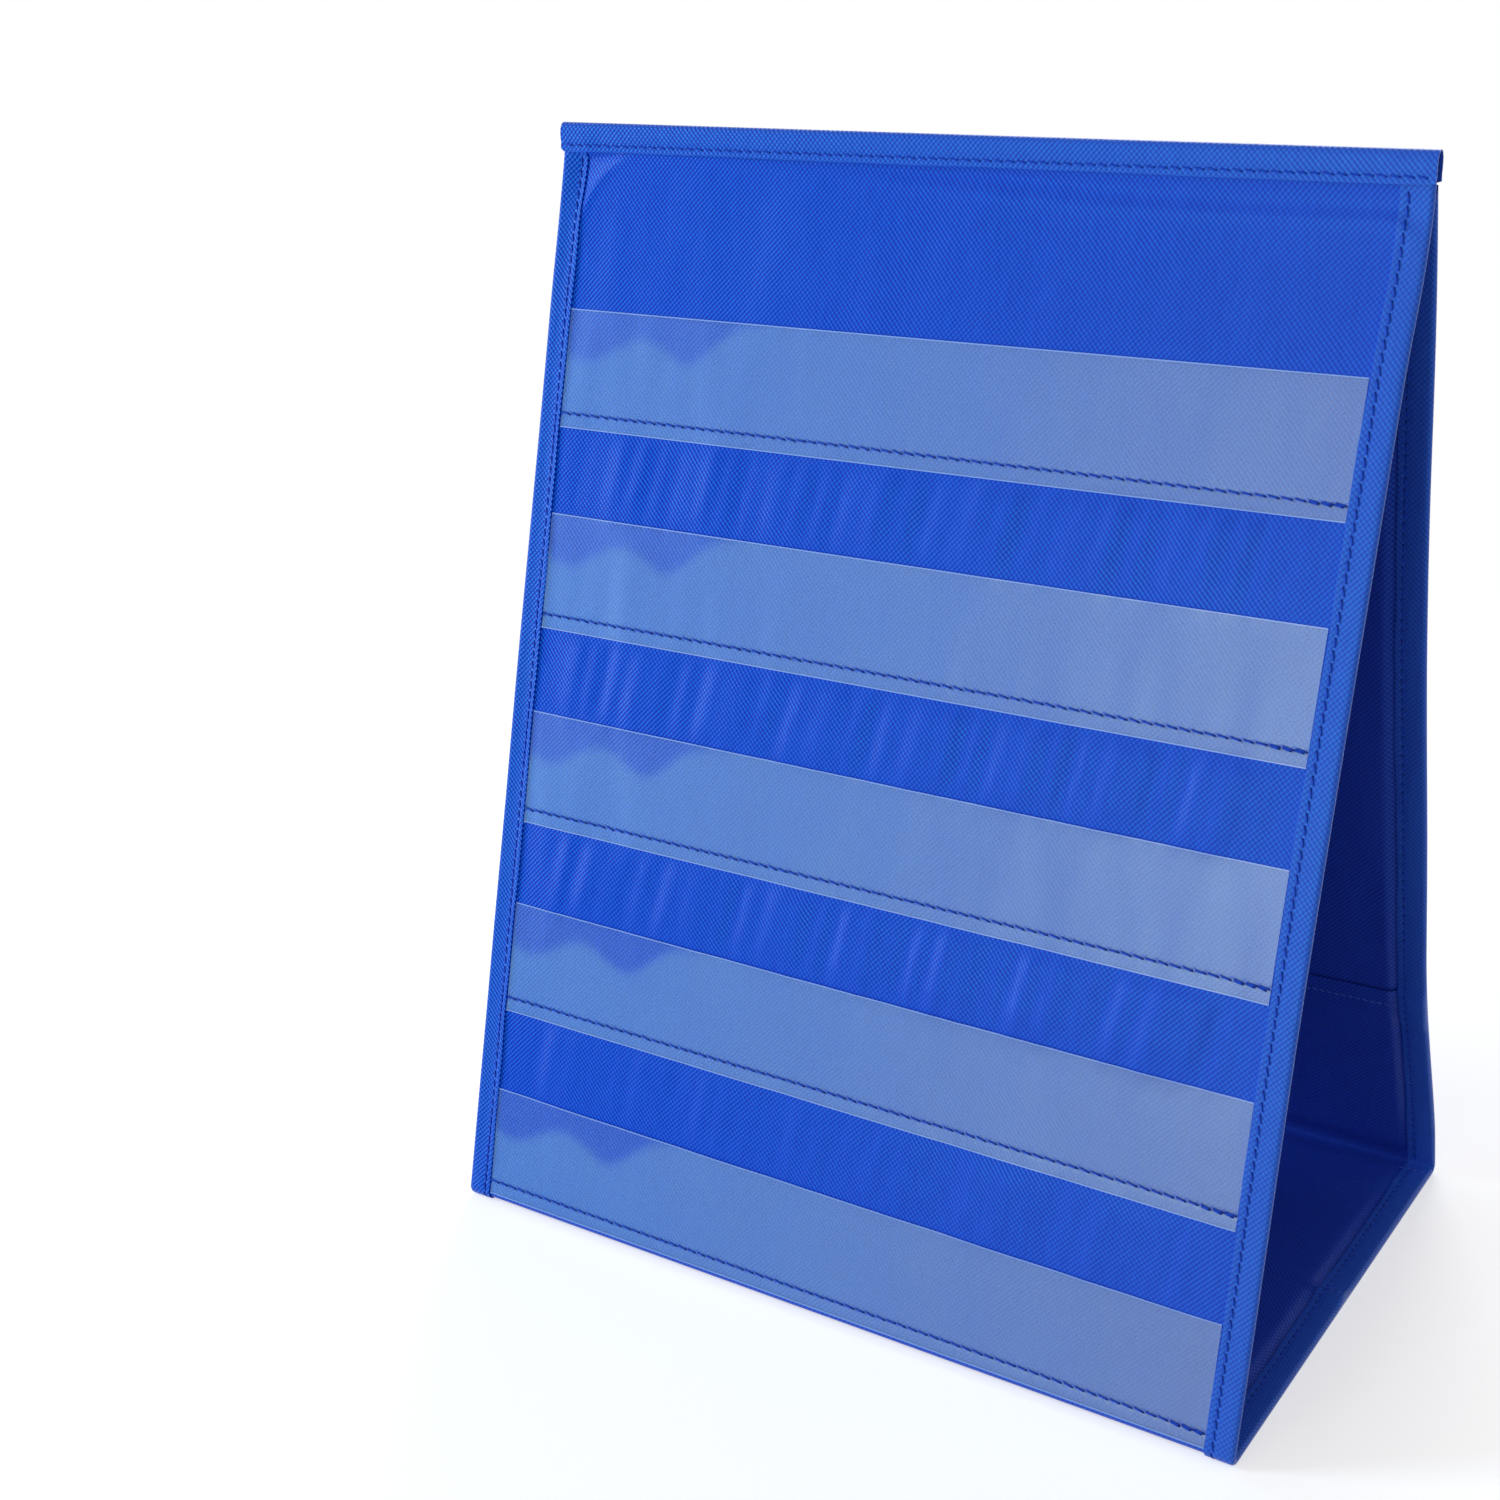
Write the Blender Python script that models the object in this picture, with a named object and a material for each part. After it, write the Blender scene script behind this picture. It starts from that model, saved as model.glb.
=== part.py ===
"""Tabletop pocket chart: a folding tent of cloth over boards, with clear card pockets on its front.

Metres, +Z up. X runs along the ridge, -Y is the front with the pockets, and the origin lies on the
floor under the middle of the base. The chart stands open, as it does in use.
"""

import math

import bmesh
import bpy

# The chart as it stands
panel_width = 0.330
panel_length = 0.430
base_depth = 0.216
back_bow = 0.0075
fold_radius = 0.003

# The sheet goods
cloth = 0.0005
tape = 0.0005
board = 0.0018
film = 0.0004
thread = 0.0004

# Clearances between layers, at the folds and under the ridge tape
fit_gap = 0.0003
fold_gap = 0.0005
ridge_gap = 0.0008

# The tapes that bind the edges
ridge_tape_height = 0.0103
ridge_tape_overhang = 0.0015
ridge_stitch_rise = 0.0023
side_tape_width = 0.0105
side_stitch_inset = 0.0026

# The boards inside, and the slack cloth round them
board_side_margin = 0.0145
board_fold_margin = 0.010
board_seam_margin = 0.006
board_corner_radius = 0.012
cloth_rise_length = 0.006
cloth_rise_width = 0.003

# The clear pockets
pocket_count = 5
pocket_height = 0.045
pocket_ridge_margin = 0.0584
pocket_fold_margin = 0.0035
pocket_stitch_rise = 0.0055
pocket_mouth_gap = 0.0012

# The lining's lap across the back, and the rows of stitches beside the folds
lap_rise = 0.102
lap_stitch_drop = 0.0065
fold_stitch_inset = 0.004

# How finely the curved lines are stepped, and the turn that still looks round
slope_steps = 8
fold_steps = 8
corner_steps = 5
ridge_steps = 8
finest_share = 0.1
round_turn = math.radians(30)

ridge_height = math.sqrt(panel_length**2 - (base_depth / 2) ** 2)
floor_gap = tape + fit_gap
edge_stack = 2 * cloth + fit_gap
board_stack = edge_stack + board + fit_gap
tape_depth = edge_stack + fit_gap + tape
ridge_half = (4 * cloth + 3 * fit_gap) / 2
ridge_outer = ridge_half + fit_gap + tape
cloth_half = panel_width / 2 - fit_gap - tape
between_tapes = panel_width / 2 - side_tape_width - fit_gap
stitch_x = panel_width / 2 - side_tape_width + side_stitch_inset

FRONT, BACK = -1, 1

BLUE_CLOTH = ((0.012, 0.080, 0.604), 0.75)
DARK_LINING = ((0.009, 0.045, 0.342), 0.80)
BLUE_TAPE = ((0.032, 0.122, 0.631), 0.65)
GREY_BOARD = ((0.330, 0.310, 0.270), 0.90)
CLEAR_FILM = ((0.700, 0.760, 0.850), 0.15)
NAVY_THREAD = ((0.006, 0.032, 0.310), 0.55)
FILM_ALPHA = 0.35


class SideLine:
    """The outer face of one side seen from its end: down from the ridge, round the fold, in to the seam."""

    def __init__(self, side, bow):
        self.side = side
        top = (side * ridge_half, ridge_height - ridge_outer)
        tape_foot = (side * ridge_half, ridge_height - ridge_tape_height)
        corner = (side * base_depth / 2, floor_gap)
        run, drop = corner[0] - tape_foot[0], corner[1] - tape_foot[1]
        slope_length = math.hypot(run, drop)
        outward = (-side * drop / slope_length, side * run / slope_length)

        points = [top, tape_foot]
        for step in range(1, slope_steps):
            share = step / slope_steps
            rise = bow * math.sin(math.pi * share) ** 2
            y = tape_foot[0] + share * run + rise * outward[0]
            z = tape_foot[1] + share * drop + rise * outward[1]
            points.append((y, z))

        lean = math.atan2(side * run, -drop)
        turn = math.pi / 2 + lean
        setback = fold_radius * math.tan(turn / 2)
        start = (corner[0] - side * setback * math.sin(lean), corner[1] + setback * math.cos(lean))
        self.axis = (start[0] - side * fold_radius * math.cos(lean), floor_gap + fold_radius)
        for step in range(fold_steps + 1):
            angle = turn * step / fold_steps - lean
            y = self.axis[0] + side * fold_radius * math.cos(angle)
            z = self.axis[1] - fold_radius * math.sin(angle)
            points.append((y, z))
        points.append((0, floor_gap))

        self.points = points
        self.lengths = [0]
        for first, second in zip(points, points[1:]):
            self.lengths.append(self.lengths[-1] + math.dist(first, second))
        self.tape_foot = self.lengths[1]
        self.slope_foot = self.lengths[-2 - fold_steps]
        self.corner = self.slope_foot + setback
        self.fold = self.lengths[-2 - fold_steps // 2]
        self.floor = self.lengths[-2]
        self.seam = self.lengths[-1]

    def inward(self, first, second):
        """The unit vector into the tent from the stretch between two points."""
        length = math.dist(first, second)
        return (
            self.side * (second[1] - first[1]) / length,
            -self.side * (second[0] - first[0]) / length,
        )

    def offset(self, index, depth):
        """A point of the line moved in by the depth, mitred where the line bends."""
        before = self.inward(*self.points[max(index - 1, 0) : max(index - 1, 0) + 2])
        last = len(self.points) - 2
        after = self.inward(*self.points[min(index, last) : min(index, last) + 2])
        spread = 1 + before[0] * after[0] + before[1] * after[1]
        y, z = self.points[index]
        return y + depth * (before[0] + after[0]) / spread, z + depth * (before[1] + after[1]) / spread

    def at(self, length, depth):
        """Where a layer at this depth lies, this far along the line."""
        index = 0
        while index < len(self.points) - 2 and self.lengths[index + 1] < length:
            index += 1
        share = (length - self.lengths[index]) / (self.lengths[index + 1] - self.lengths[index])
        (y1, z1), (y2, z2) = self.offset(index, depth), self.offset(index + 1, depth)
        return y1 + share * (y2 - y1), z1 + share * (z2 - z1)

    def clear_from(self, depth):
        """How far down the line a layer at this depth first keeps clear of the other side's."""
        low, high = self.tape_foot, self.slope_foot
        while high - low > fit_gap * finest_share:
            middle = (low + high) / 2
            if self.side * self.at(middle, depth)[0] < fit_gap:
                low = middle
            else:
                high = middle
        return high


def joined_lengths(line, start, end, stops):
    """The lengths where a piece has a ring of points: its ends, its own stops and the line's bends."""
    least = fit_gap * finest_share
    inside = [length for length in line.lengths + list(stops) if start + least < length < end - least]
    rings = [start]
    for length in sorted(inside):
        if length - rings[-1] > least:
            rings.append(length)
    return rings + [end]


def painted(name, look, alpha):
    """A material of the piece's own."""
    material = bpy.data.materials.new(name)
    material.use_nodes = True
    shader = material.node_tree.nodes["Principled BSDF"]
    colour, roughness = look
    shader.inputs["Base Color"].default_value = (*colour, 1)
    shader.inputs["Roughness"].default_value = roughness
    shader.inputs["Metallic"].default_value = 0
    shader.inputs["Alpha"].default_value = alpha
    return material


def skin(name, rings, look, pivot=None, alpha=1):
    """A closed solid over rings of points in the world, hung from the empty on its fold's axis."""
    shape = bmesh.new()
    centre = pivot.matrix_world.translation if pivot else (0, 0, 0)
    loops = []
    for ring in rings:
        loops.append([shape.verts.new([value - start for value, start in zip(point, centre)]) for point in ring])
    for loop, following in zip(loops, loops[1:]):
        for index in range(len(loop)):
            ahead = (index + 1) % len(loop)
            shape.faces.new((loop[index], loop[ahead], following[ahead], following[index]))
    shape.faces.new(loops[0])
    shape.faces.new(loops[-1])
    bmesh.ops.recalc_face_normals(shape, faces=shape.faces)
    mesh = bpy.data.meshes.new(name)
    shape.to_mesh(mesh)
    shape.free()
    mesh.shade_smooth()
    mesh.set_sharp_from_angle(angle=round_turn)
    mesh.materials.append(painted(name, look, alpha))
    piece = bpy.data.objects.new(name, mesh)
    bpy.context.collection.objects.link(piece)
    piece.parent = pivot


def loft(name, line, start, end, section, look, pivot=None, stops=(), alpha=1):
    """A solid that follows the line. section(length) gives its loop of (x, depth) points there."""
    rings = []
    for length in joined_lengths(line, start, end, stops):
        rings.append([(x, *line.at(length, depth)) for x, depth in section(length)])
    skin(name, rings, look, pivot, alpha)


def plain_sheet(name, line, start, end, half, depth, thickness, look, pivot=None):
    """A sheet of one thickness, centred across the chart, lying along the line at one depth."""

    def section(length):
        return [(-half, depth), (half, depth), (half, depth + thickness), (-half, depth + thickness)]

    loft(name, line, start, end, section, look, pivot)


def side_tape(name, line, start, end, hand, pivot=None):
    """A tape folded over one side edge: a leg outside the cloth, a leg inside the lining."""
    edge = hand * panel_width / 2
    fold_inside = edge - hand * tape
    leg_end = edge - hand * side_tape_width
    outside, inside = -fit_gap - tape, tape_depth

    def section(length):
        return [
            (leg_end, outside),
            (edge, outside),
            (edge, inside),
            (leg_end, inside),
            (leg_end, inside - tape),
            (fold_inside, inside - tape),
            (fold_inside, outside + tape),
            (leg_end, outside + tape),
        ]

    loft(name, line, start, end, section, BLUE_TAPE, pivot)


def side_stitches(name, line, start, end, hand, depth, pivot=None):
    """The thread along a side tape, a slender bar at its row."""
    near = hand * stitch_x - thread / 2
    far = hand * stitch_x + thread / 2

    def section(length):
        return [(near, depth), (far, depth), (far, depth + thread), (near, depth + thread)]

    loft(name, line, start, end, section, NAVY_THREAD, pivot)


def cross_stitches(name, line, length, depth, half, pivot=None):
    """The thread of a row that runs across the chart."""
    start, end = length - thread / 2, length + thread / 2
    plain_sheet(name, line, start, end, half, depth, thread, NAVY_THREAD, pivot)


def stiffener(name, line, start, end, pivot=None):
    """A greyboard sheet with rounded corners, loose between the cloth and the lining."""
    half = panel_width / 2 - board_side_margin
    depth = cloth + fit_gap
    angles = [math.pi / 2 * step / corner_steps for step in range(corner_steps + 1)]
    insets = [board_corner_radius * (1 - math.cos(angle)) for angle in angles]
    stops = [start + inset for inset in insets] + [end - inset for inset in insets]

    def section(length):
        inset = board_corner_radius - min(board_corner_radius, length - start, end - length)
        narrowing = board_corner_radius - math.sqrt(max(board_corner_radius**2 - inset**2, 0))
        reach = half - narrowing
        return [(-reach, depth), (reach, depth), (reach, depth + board), (-reach, depth + board)]

    loft(name, line, start, end, section, GREY_BOARD, pivot, stops)


def lining(name, line, start, end, board_start, board_end, pivot=None):
    """The inner cloth: close to the outer cloth at the edges, and risen over the board between them."""
    flat = panel_width / 2 - board_side_margin
    foot = flat + cloth_rise_width
    stops = [board_start - cloth_rise_length, board_start, board_end, board_end + cloth_rise_length]

    def section(length):
        before = (length - board_start) / cloth_rise_length + 1
        after = (board_end - length) / cloth_rise_length + 1
        rise = (board_stack - edge_stack) * min(max(min(before, after), 0), 1)
        near, far = cloth + fit_gap, cloth + fit_gap + rise
        outer = [(-cloth_half, near), (-foot, near), (-flat, far), (flat, far), (foot, near), (cloth_half, near)]
        return outer + [(x, depth + cloth) for x, depth in reversed(outer)]

    loft(name, line, start, end, section, DARK_LINING, pivot, stops)


def pocket(number, line):
    """A clear strip across the front: stitched along its foot, a little open along its mouth."""
    highest = line.tape_foot + pocket_ridge_margin
    lowest = line.corner - pocket_fold_margin - pocket_height
    mouth = highest + (lowest - highest) * (number - 1) / (pocket_count - 1)
    foot = mouth + pocket_height
    row = foot - pocket_stitch_rise

    def section(length):
        open_share = min(max((row - length) / (row - mouth), 0), 1)
        gap = fit_gap + (pocket_mouth_gap - fit_gap) * open_share
        return [
            (-between_tapes, -gap - film),
            (between_tapes, -gap - film),
            (between_tapes, -gap),
            (-between_tapes, -gap),
        ]

    loft(f"pocket_film_{number}", line, mouth, foot, section, CLEAR_FILM, None, [row], FILM_ALPHA)
    depth = -fit_gap - film - fit_gap - thread
    cross_stitches(f"pocket_stitches_{number}", line, row, depth, between_tapes)


def ridge_tape():
    """The tape folded over the ridge, round the top edges of both sides' cloth and lining."""
    inner = ridge_outer - tape
    outer = ridge_outer
    arc_height = ridge_height - outer
    foot = ridge_height - ridge_tape_height
    angles = [math.pi * step / ridge_steps for step in range(ridge_steps + 1)]
    loop = [(-outer, foot)]
    loop += [(-outer * math.cos(angle), arc_height + outer * math.sin(angle)) for angle in angles]
    loop += [(outer, foot), (inner, foot)]
    loop += [(inner * math.cos(angle), arc_height + inner * math.sin(angle)) for angle in angles]
    loop += [(-inner, foot)]
    half = panel_width / 2 + ridge_tape_overhang

    skin("ridge_tape", [[(x, y, z) for y, z in loop] for x in (-half, half)], BLUE_TAPE)


def ridge_stitches(line):
    """The thread along the foot of the ridge tape, on its front."""
    length = line.tape_foot - ridge_stitch_rise
    depth = -fit_gap - tape - fit_gap - thread
    cross_stitches("ridge_stitches", line, length, depth, panel_width / 2)


def fold_empty(name, place, parent=None):
    """An empty on a fold's axis, which carries what turns about it."""
    empty = bpy.data.objects.new(name, None)
    bpy.context.collection.objects.link(empty)
    empty.parent = parent
    origin = parent.matrix_world.translation if parent else (0, 0, 0)
    empty.location = [value - start for value, start in zip(place, origin)]
    bpy.context.view_layer.update()
    return empty


def build_front_panel(line):
    """The sloping front with the pockets, and the ridge, which stays with it."""
    end = line.fold - fold_gap / 2
    board_start = line.clear_from(board_stack)
    board_end = line.slope_foot - board_fold_margin
    tape_start = line.clear_from(tape_depth)
    plain_sheet("front_face_cloth", line, 0, end, cloth_half, 0, cloth, BLUE_CLOTH)
    stiffener("front_board", line, board_start, board_end)
    lining("front_lining", line, 0, end, board_start, board_end)
    depth = -floor_gap - fit_gap - thread
    for hand, side in ((-1, "left"), (1, "right")):
        side_tape(f"front_{side}_tape", line, tape_start, end, hand)
        side_stitches(f"front_{side}_stitches", line, tape_start, end, hand, depth)
    for number in range(1, pocket_count + 1):
        pocket(number, line)
    ridge_tape()
    ridge_stitches(line)


def build_ridge_edges(line):
    """The top edges of the back's cloth and lining, held in the ridge tape."""
    end = line.tape_foot
    plain_sheet("back_cloth_top_edge", line, 0, end, cloth_half, 0, cloth, BLUE_CLOTH)
    plain_sheet("back_lining_top_edge", line, 0, end, cloth_half, cloth + fit_gap, cloth, DARK_LINING)


def build_base_half(line, name, pivot):
    """One half of the base, from its fold in to the seam across the middle."""
    start, end = line.fold + fold_gap / 2, line.seam - fold_gap / 2
    board_start, board_end = line.floor + board_fold_margin, line.seam - board_seam_margin
    plain_sheet(f"{name}_sole_cloth", line, start, end, cloth_half, 0, cloth, BLUE_CLOTH, pivot)
    stiffener(f"{name}_board", line, board_start, board_end, pivot)
    lining(f"{name}_lining", line, start, end, board_start, board_end, pivot)
    for hand, side in ((-1, "left"), (1, "right")):
        side_tape(f"{name}_{side}_tape", line, start, end, hand, pivot)
        row_start = line.floor + fold_stitch_inset
        side_stitches(f"{name}_{side}_stitches", line, row_start, end, hand, tape_depth + fit_gap, pivot)
    row = line.floor + fold_stitch_inset
    cross_stitches(f"{name}_fold_stitches", line, row, edge_stack + fit_gap, between_tapes, pivot)


def build_seam_stitches(line, pivot):
    """The thread beside the seam across the middle of the base."""
    row = line.seam - fold_stitch_inset
    cross_stitches("base_seam_stitches", line, row, board_stack + fit_gap, between_tapes, pivot)


def build_back_panel(line, pivot):
    """The sloping back, which hangs from its fold and meets the ridge tape's foot."""
    start, end = line.tape_foot + ridge_gap, line.fold - fold_gap / 2
    board_start = line.clear_from(board_stack)
    board_end = line.slope_foot - board_fold_margin
    lap = line.corner - lap_rise
    tape_start = line.clear_from(tape_depth)
    plain_sheet("back_face_cloth", line, start, end, cloth_half, 0, cloth, BLUE_CLOTH, pivot)
    stiffener("back_board", line, board_start, board_end, pivot)
    lining("back_upper_lining", line, start, lap - fit_gap / 2, board_start, board_end, pivot)
    lining("back_lower_lining", line, lap + fit_gap / 2, end, board_start, board_end, pivot)
    half = panel_width / 2 - board_side_margin
    cross_stitches("back_lap_stitches", line, lap + lap_stitch_drop, board_stack + fit_gap, half, pivot)
    for hand, side in ((-1, "left"), (1, "right")):
        side_tape(f"back_{side}_tape", line, tape_start, end, hand, pivot)
        depth = tape_depth + fit_gap
        row_start = line.clear_from(depth + thread)
        side_stitches(f"back_{side}_stitches", line, row_start, line.slope_foot, hand, depth, pivot)


for leftover in list(bpy.data.objects):
    bpy.data.objects.remove(leftover, do_unlink=True)

front_line = SideLine(FRONT, 0)
back_line = SideLine(BACK, -back_bow)

front_fold = fold_empty("front_fold", (0, *front_line.axis))
middle_fold = fold_empty("middle_fold", (0, 0, 0), front_fold)
back_fold = fold_empty("back_fold", (0, *back_line.axis), middle_fold)

build_front_panel(front_line)
build_ridge_edges(back_line)
build_base_half(front_line, "base_front", front_fold)
build_base_half(back_line, "base_back", middle_fold)
build_seam_stitches(back_line, middle_fold)
build_back_panel(back_line, back_fold)
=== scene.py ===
import math

import bpy
import numpy as np
from mathutils import Matrix, Vector


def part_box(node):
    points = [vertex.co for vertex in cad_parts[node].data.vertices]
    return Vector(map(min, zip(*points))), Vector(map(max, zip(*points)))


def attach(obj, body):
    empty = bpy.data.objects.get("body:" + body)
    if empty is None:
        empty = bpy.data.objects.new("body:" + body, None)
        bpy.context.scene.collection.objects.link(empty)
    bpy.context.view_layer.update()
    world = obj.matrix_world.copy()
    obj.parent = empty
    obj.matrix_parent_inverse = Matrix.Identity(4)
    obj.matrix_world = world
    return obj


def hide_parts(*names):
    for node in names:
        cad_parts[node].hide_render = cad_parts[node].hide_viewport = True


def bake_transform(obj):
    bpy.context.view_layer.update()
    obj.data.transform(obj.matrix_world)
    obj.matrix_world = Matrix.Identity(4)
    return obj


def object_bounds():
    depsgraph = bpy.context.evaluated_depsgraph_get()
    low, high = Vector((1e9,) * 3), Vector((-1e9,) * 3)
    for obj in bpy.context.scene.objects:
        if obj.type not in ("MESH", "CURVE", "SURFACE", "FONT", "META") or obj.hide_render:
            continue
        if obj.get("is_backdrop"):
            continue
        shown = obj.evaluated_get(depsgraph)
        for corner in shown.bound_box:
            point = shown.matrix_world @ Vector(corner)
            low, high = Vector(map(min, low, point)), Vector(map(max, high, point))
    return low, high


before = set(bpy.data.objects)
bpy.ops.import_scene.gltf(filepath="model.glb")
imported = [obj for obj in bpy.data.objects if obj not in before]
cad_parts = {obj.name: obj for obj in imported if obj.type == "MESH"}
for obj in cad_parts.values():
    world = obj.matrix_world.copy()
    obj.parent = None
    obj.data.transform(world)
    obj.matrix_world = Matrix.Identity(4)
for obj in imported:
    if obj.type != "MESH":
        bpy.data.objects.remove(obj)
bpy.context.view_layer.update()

MM = 0.001

# Greyboard stiffeners
# Four sheets of grey recycled board, die cut with rounded corners, which keep the panels flat. Each
# lies loose between the outer cloth and the lining, so it takes the panel's slight curve.
FRONT, BACK = -1, 1
PANEL_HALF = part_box("front_right_tape")[1].x
RIDGE_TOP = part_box("ridge_tape")[1].z
TAPE_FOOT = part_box("ridge_tape")[0].z
LINE_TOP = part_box("front_face_cloth")[1].z
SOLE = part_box("base_front_sole_cloth")[0].z
CORNER = 108 * MM
RIDGE_HALF = 1.45 * MM
FOLD_RADIUS = 3 * MM
NECK_BEND = 6 * MM
LINE_STEP = FOLD_RADIUS / 40
CLOTH = 0.5 * MM
LAYER_GAP = 0.3 * MM
BOARD = 1.8 * MM
BOARD_HALF = PANEL_HALF - 14.5 * MM
BOARD_RADIUS = 12 * MM
BOARD_NECK = 9 * MM
BOARD_NECK_TILT = 6 * MM
BOARD_FOLD_MARGIN = 10 * MM
BOARD_SEAM_MARGIN = 6 * MM
BOARD_STEP = 8 * MM
SHARP_TURN = math.radians(50)
GREYBOARD = "#8C8880"
GREYBOARD_FLECK = "#6E6A64"
FLECK = 0.8 * MM


def smooth(share):
    """Eases from 0 to 1 as the share goes from 0 to 1."""
    share = np.clip(share, 0, 1)
    return share * share * (3 - 2 * share)


def eased(value, start, end):
    """Eases from 0 to 1 as the value goes from start to end."""
    return smooth((value - start) / (end - start))


class Side:
    """One side of the tent: where its layers lie, by how far across, down its line and in from its cloth."""

    def __init__(self, hand, swell):
        self.hand = hand
        self.swell = swell
        run, drop = CORNER - RIDGE_HALF, TAPE_FOOT - SOLE
        lean = math.atan2(run, drop)
        turn = lean + math.pi / 2
        setback = FOLD_RADIUS * math.tan(turn / 2)
        self.slope = math.hypot(run, drop)
        self.neck = LINE_TOP - TAPE_FOOT
        self.corner = self.neck + self.slope
        self.slope_foot = self.corner - setback
        self.floor = self.slope_foot + FOLD_RADIUS * turn
        self.seam = self.floor + CORNER - setback
        self.axis = Vector((0, hand * (CORNER - setback), SOLE + FOLD_RADIUS))
        self.lengths = np.arange(0, self.seam + LINE_STEP, LINE_STEP)
        bend = smooth((self.lengths - self.neck) / NECK_BEND + 0.5)
        fold = np.clip((self.lengths - self.slope_foot) / (self.floor - self.slope_foot), 0, 1)
        self.angles = lean * bend - turn * fold
        middles = (self.angles[1:] + self.angles[:-1]) / 2
        self.out = RIDGE_HALF + LINE_STEP * np.concatenate([[0], np.cumsum(np.sin(middles))])
        self.up = LINE_TOP - LINE_STEP * np.concatenate([[0], np.cumsum(np.cos(middles))])

    def place(self, x, length, depth):
        """Points in the frame. Depth grows into the tent, and the cloth's swell moves every layer alike."""
        x, length, depth = np.broadcast_arrays(x, length, depth)
        angle = np.interp(length, self.lengths, self.angles)
        rise = self.swell(self, x, length) - depth
        y = self.hand * (np.interp(length, self.lengths, self.out) + rise * np.cos(angle))
        z = np.interp(length, self.lengths, self.up) + rise * np.sin(angle)
        return np.stack([x, y, z], axis=-1)


# Each wave of the cloth's unevenness: its length across, its length down and its height, in mm.
RIPPLES = ((61, 170, 0.30), (37, 240, 0.24), (23, 120, 0.16), (14, 90, 0.09))


def ripples(x, length, phase):
    """The soft unevenness of cloth that is held at its edges, from a few crossing waves."""
    total = 0
    for number, (across, down, height) in enumerate(RIPPLES):
        turned = phase + 2.1 * number
        crosswise = height * MM * np.sin(2 * math.pi * x / (across * MM) + turned)
        total = total + crosswise * np.sin(2 * math.pi * length / (down * MM) + 1.7 * turned)
    return total


# The front board's outline as it shows through the cloth: its top edge slants down to the right, and
# its right corner is the sharper one.
OUTLINE_HALF = 160 * MM
OUTLINE_MIDDLE = 4 * MM
OUTLINE_SLANT = 10 * MM
OUTLINE_SLANT_ENDS = (-140 * MM, 90 * MM)
OUTLINE_LEFT_RADIUS = 30 * MM
OUTLINE_RIGHT_RADIUS = 14 * MM
OUTLINE_RADIUS_ENDS = (-40 * MM, 40 * MM)


def beside_board(x, below):
    """How far outside the front board's outline the cloth lies, and less than 0 over the board."""
    sharper = eased(x, *OUTLINE_RADIUS_ENDS)
    radius = OUTLINE_LEFT_RADIUS + (OUTLINE_RIGHT_RADIUS - OUTLINE_LEFT_RADIUS) * sharper
    top = OUTLINE_SLANT * eased(x, *OUTLINE_SLANT_ENDS)
    past_side = np.abs(x - OUTLINE_MIDDLE) - OUTLINE_HALF + radius
    past_top = top - below + radius
    corner = np.hypot(np.maximum(past_side, 0), np.maximum(past_top, 0))
    past = np.where((past_side > 0) & (past_top > 0), corner, np.maximum(past_side, past_top))
    return past - radius


# What holds the slopes' cloth: the ridge tape, the side tapes and the folds.
NECK_HOLD = 12 * MM
EDGE_HOLD = 9 * MM
FOOT_HOLD = 24 * MM
HANG = 2.6 * MM
HANG_BEND = 7 * MM
HANG_ENDS = (62 * MM, 20 * MM)
BULGE = 0.4 * MM
BULGE_MORE_AT_RIGHT = 3.8 * MM
SLIP = 2.7 * MM
SLIP_REACH = 8 * MM
SLIP_START = 2 * MM
SLIP_LATER_AT_RIGHT = 10 * MM
SLIP_LATER_FROM = 120 * MM
LIP = 0.3 * MM
LIP_MORE_AT_RIGHT = 0.25 * MM
LIP_MORE_FROM = 100 * MM
LIP_INSIDE = 1.2 * MM
LIP_REACH = 1.5 * MM


def front_swell(side, x, length):
    """The front hangs straight below the ridge tape, then bulges, most at its right edge. Past the board's
    edges the cloth slips inwards, and a low lip stands along them."""
    below = np.maximum(length - side.neck, 0)
    share = np.clip(below / side.slope, 0, 1)
    across = np.clip((x + PANEL_HALF) / (2 * PANEL_HALF), 0, 1)
    hang = (1 - np.exp(-below / HANG_BEND)) * eased(below, *HANG_ENDS)
    bulge = np.sin(math.pi * share**1.2) ** 1.5
    end = smooth((side.slope_foot - length) / FOOT_HOLD)
    held = smooth(below / NECK_HOLD) * end
    off_edge = smooth((PANEL_HALF - np.abs(x)) / EDGE_HOLD) * end
    off_edge = off_edge * smooth(below / (SLIP_START + SLIP_LATER_AT_RIGHT * smooth(x / SLIP_LATER_FROM)))
    beside = beside_board(x, below)
    slip = SLIP * (1 - np.exp(-np.maximum(beside, 0) / SLIP_REACH))
    lip = LIP + LIP_MORE_AT_RIGHT * smooth(x / LIP_MORE_FROM)
    lip = lip * np.exp(-(((beside + LIP_INSIDE) / LIP_REACH) ** 2))
    return (
        -HANG * (0.2 + 0.8 * smooth(across)) * hang
        + (BULGE + BULGE_MORE_AT_RIGHT * across**1.5) * bulge
        + (lip - slip) * off_edge
        + 0.45 * ripples(x, length, 0.4) * held
    )


BOW = 10.3 * MM
BOW_FULL_SHARE = 0.42
BOW_END_SHARES = (0.985, 0.705)


def back_swell(side, x, length):
    """The back bows into the tent, and its foot bends most."""
    below = np.maximum(length - side.neck, 0)
    share = np.clip(below / side.slope, 0, 1)
    held = smooth(below / NECK_HOLD) * smooth((side.slope_foot - length) / FOOT_HOLD)
    bow = smooth(share / BOW_FULL_SHARE) * eased(share, *BOW_END_SHARES)
    return -BOW * bow + ripples(x, length, 2.9) * held


front, back = Side(FRONT, front_swell), Side(BACK, back_swell)

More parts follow.
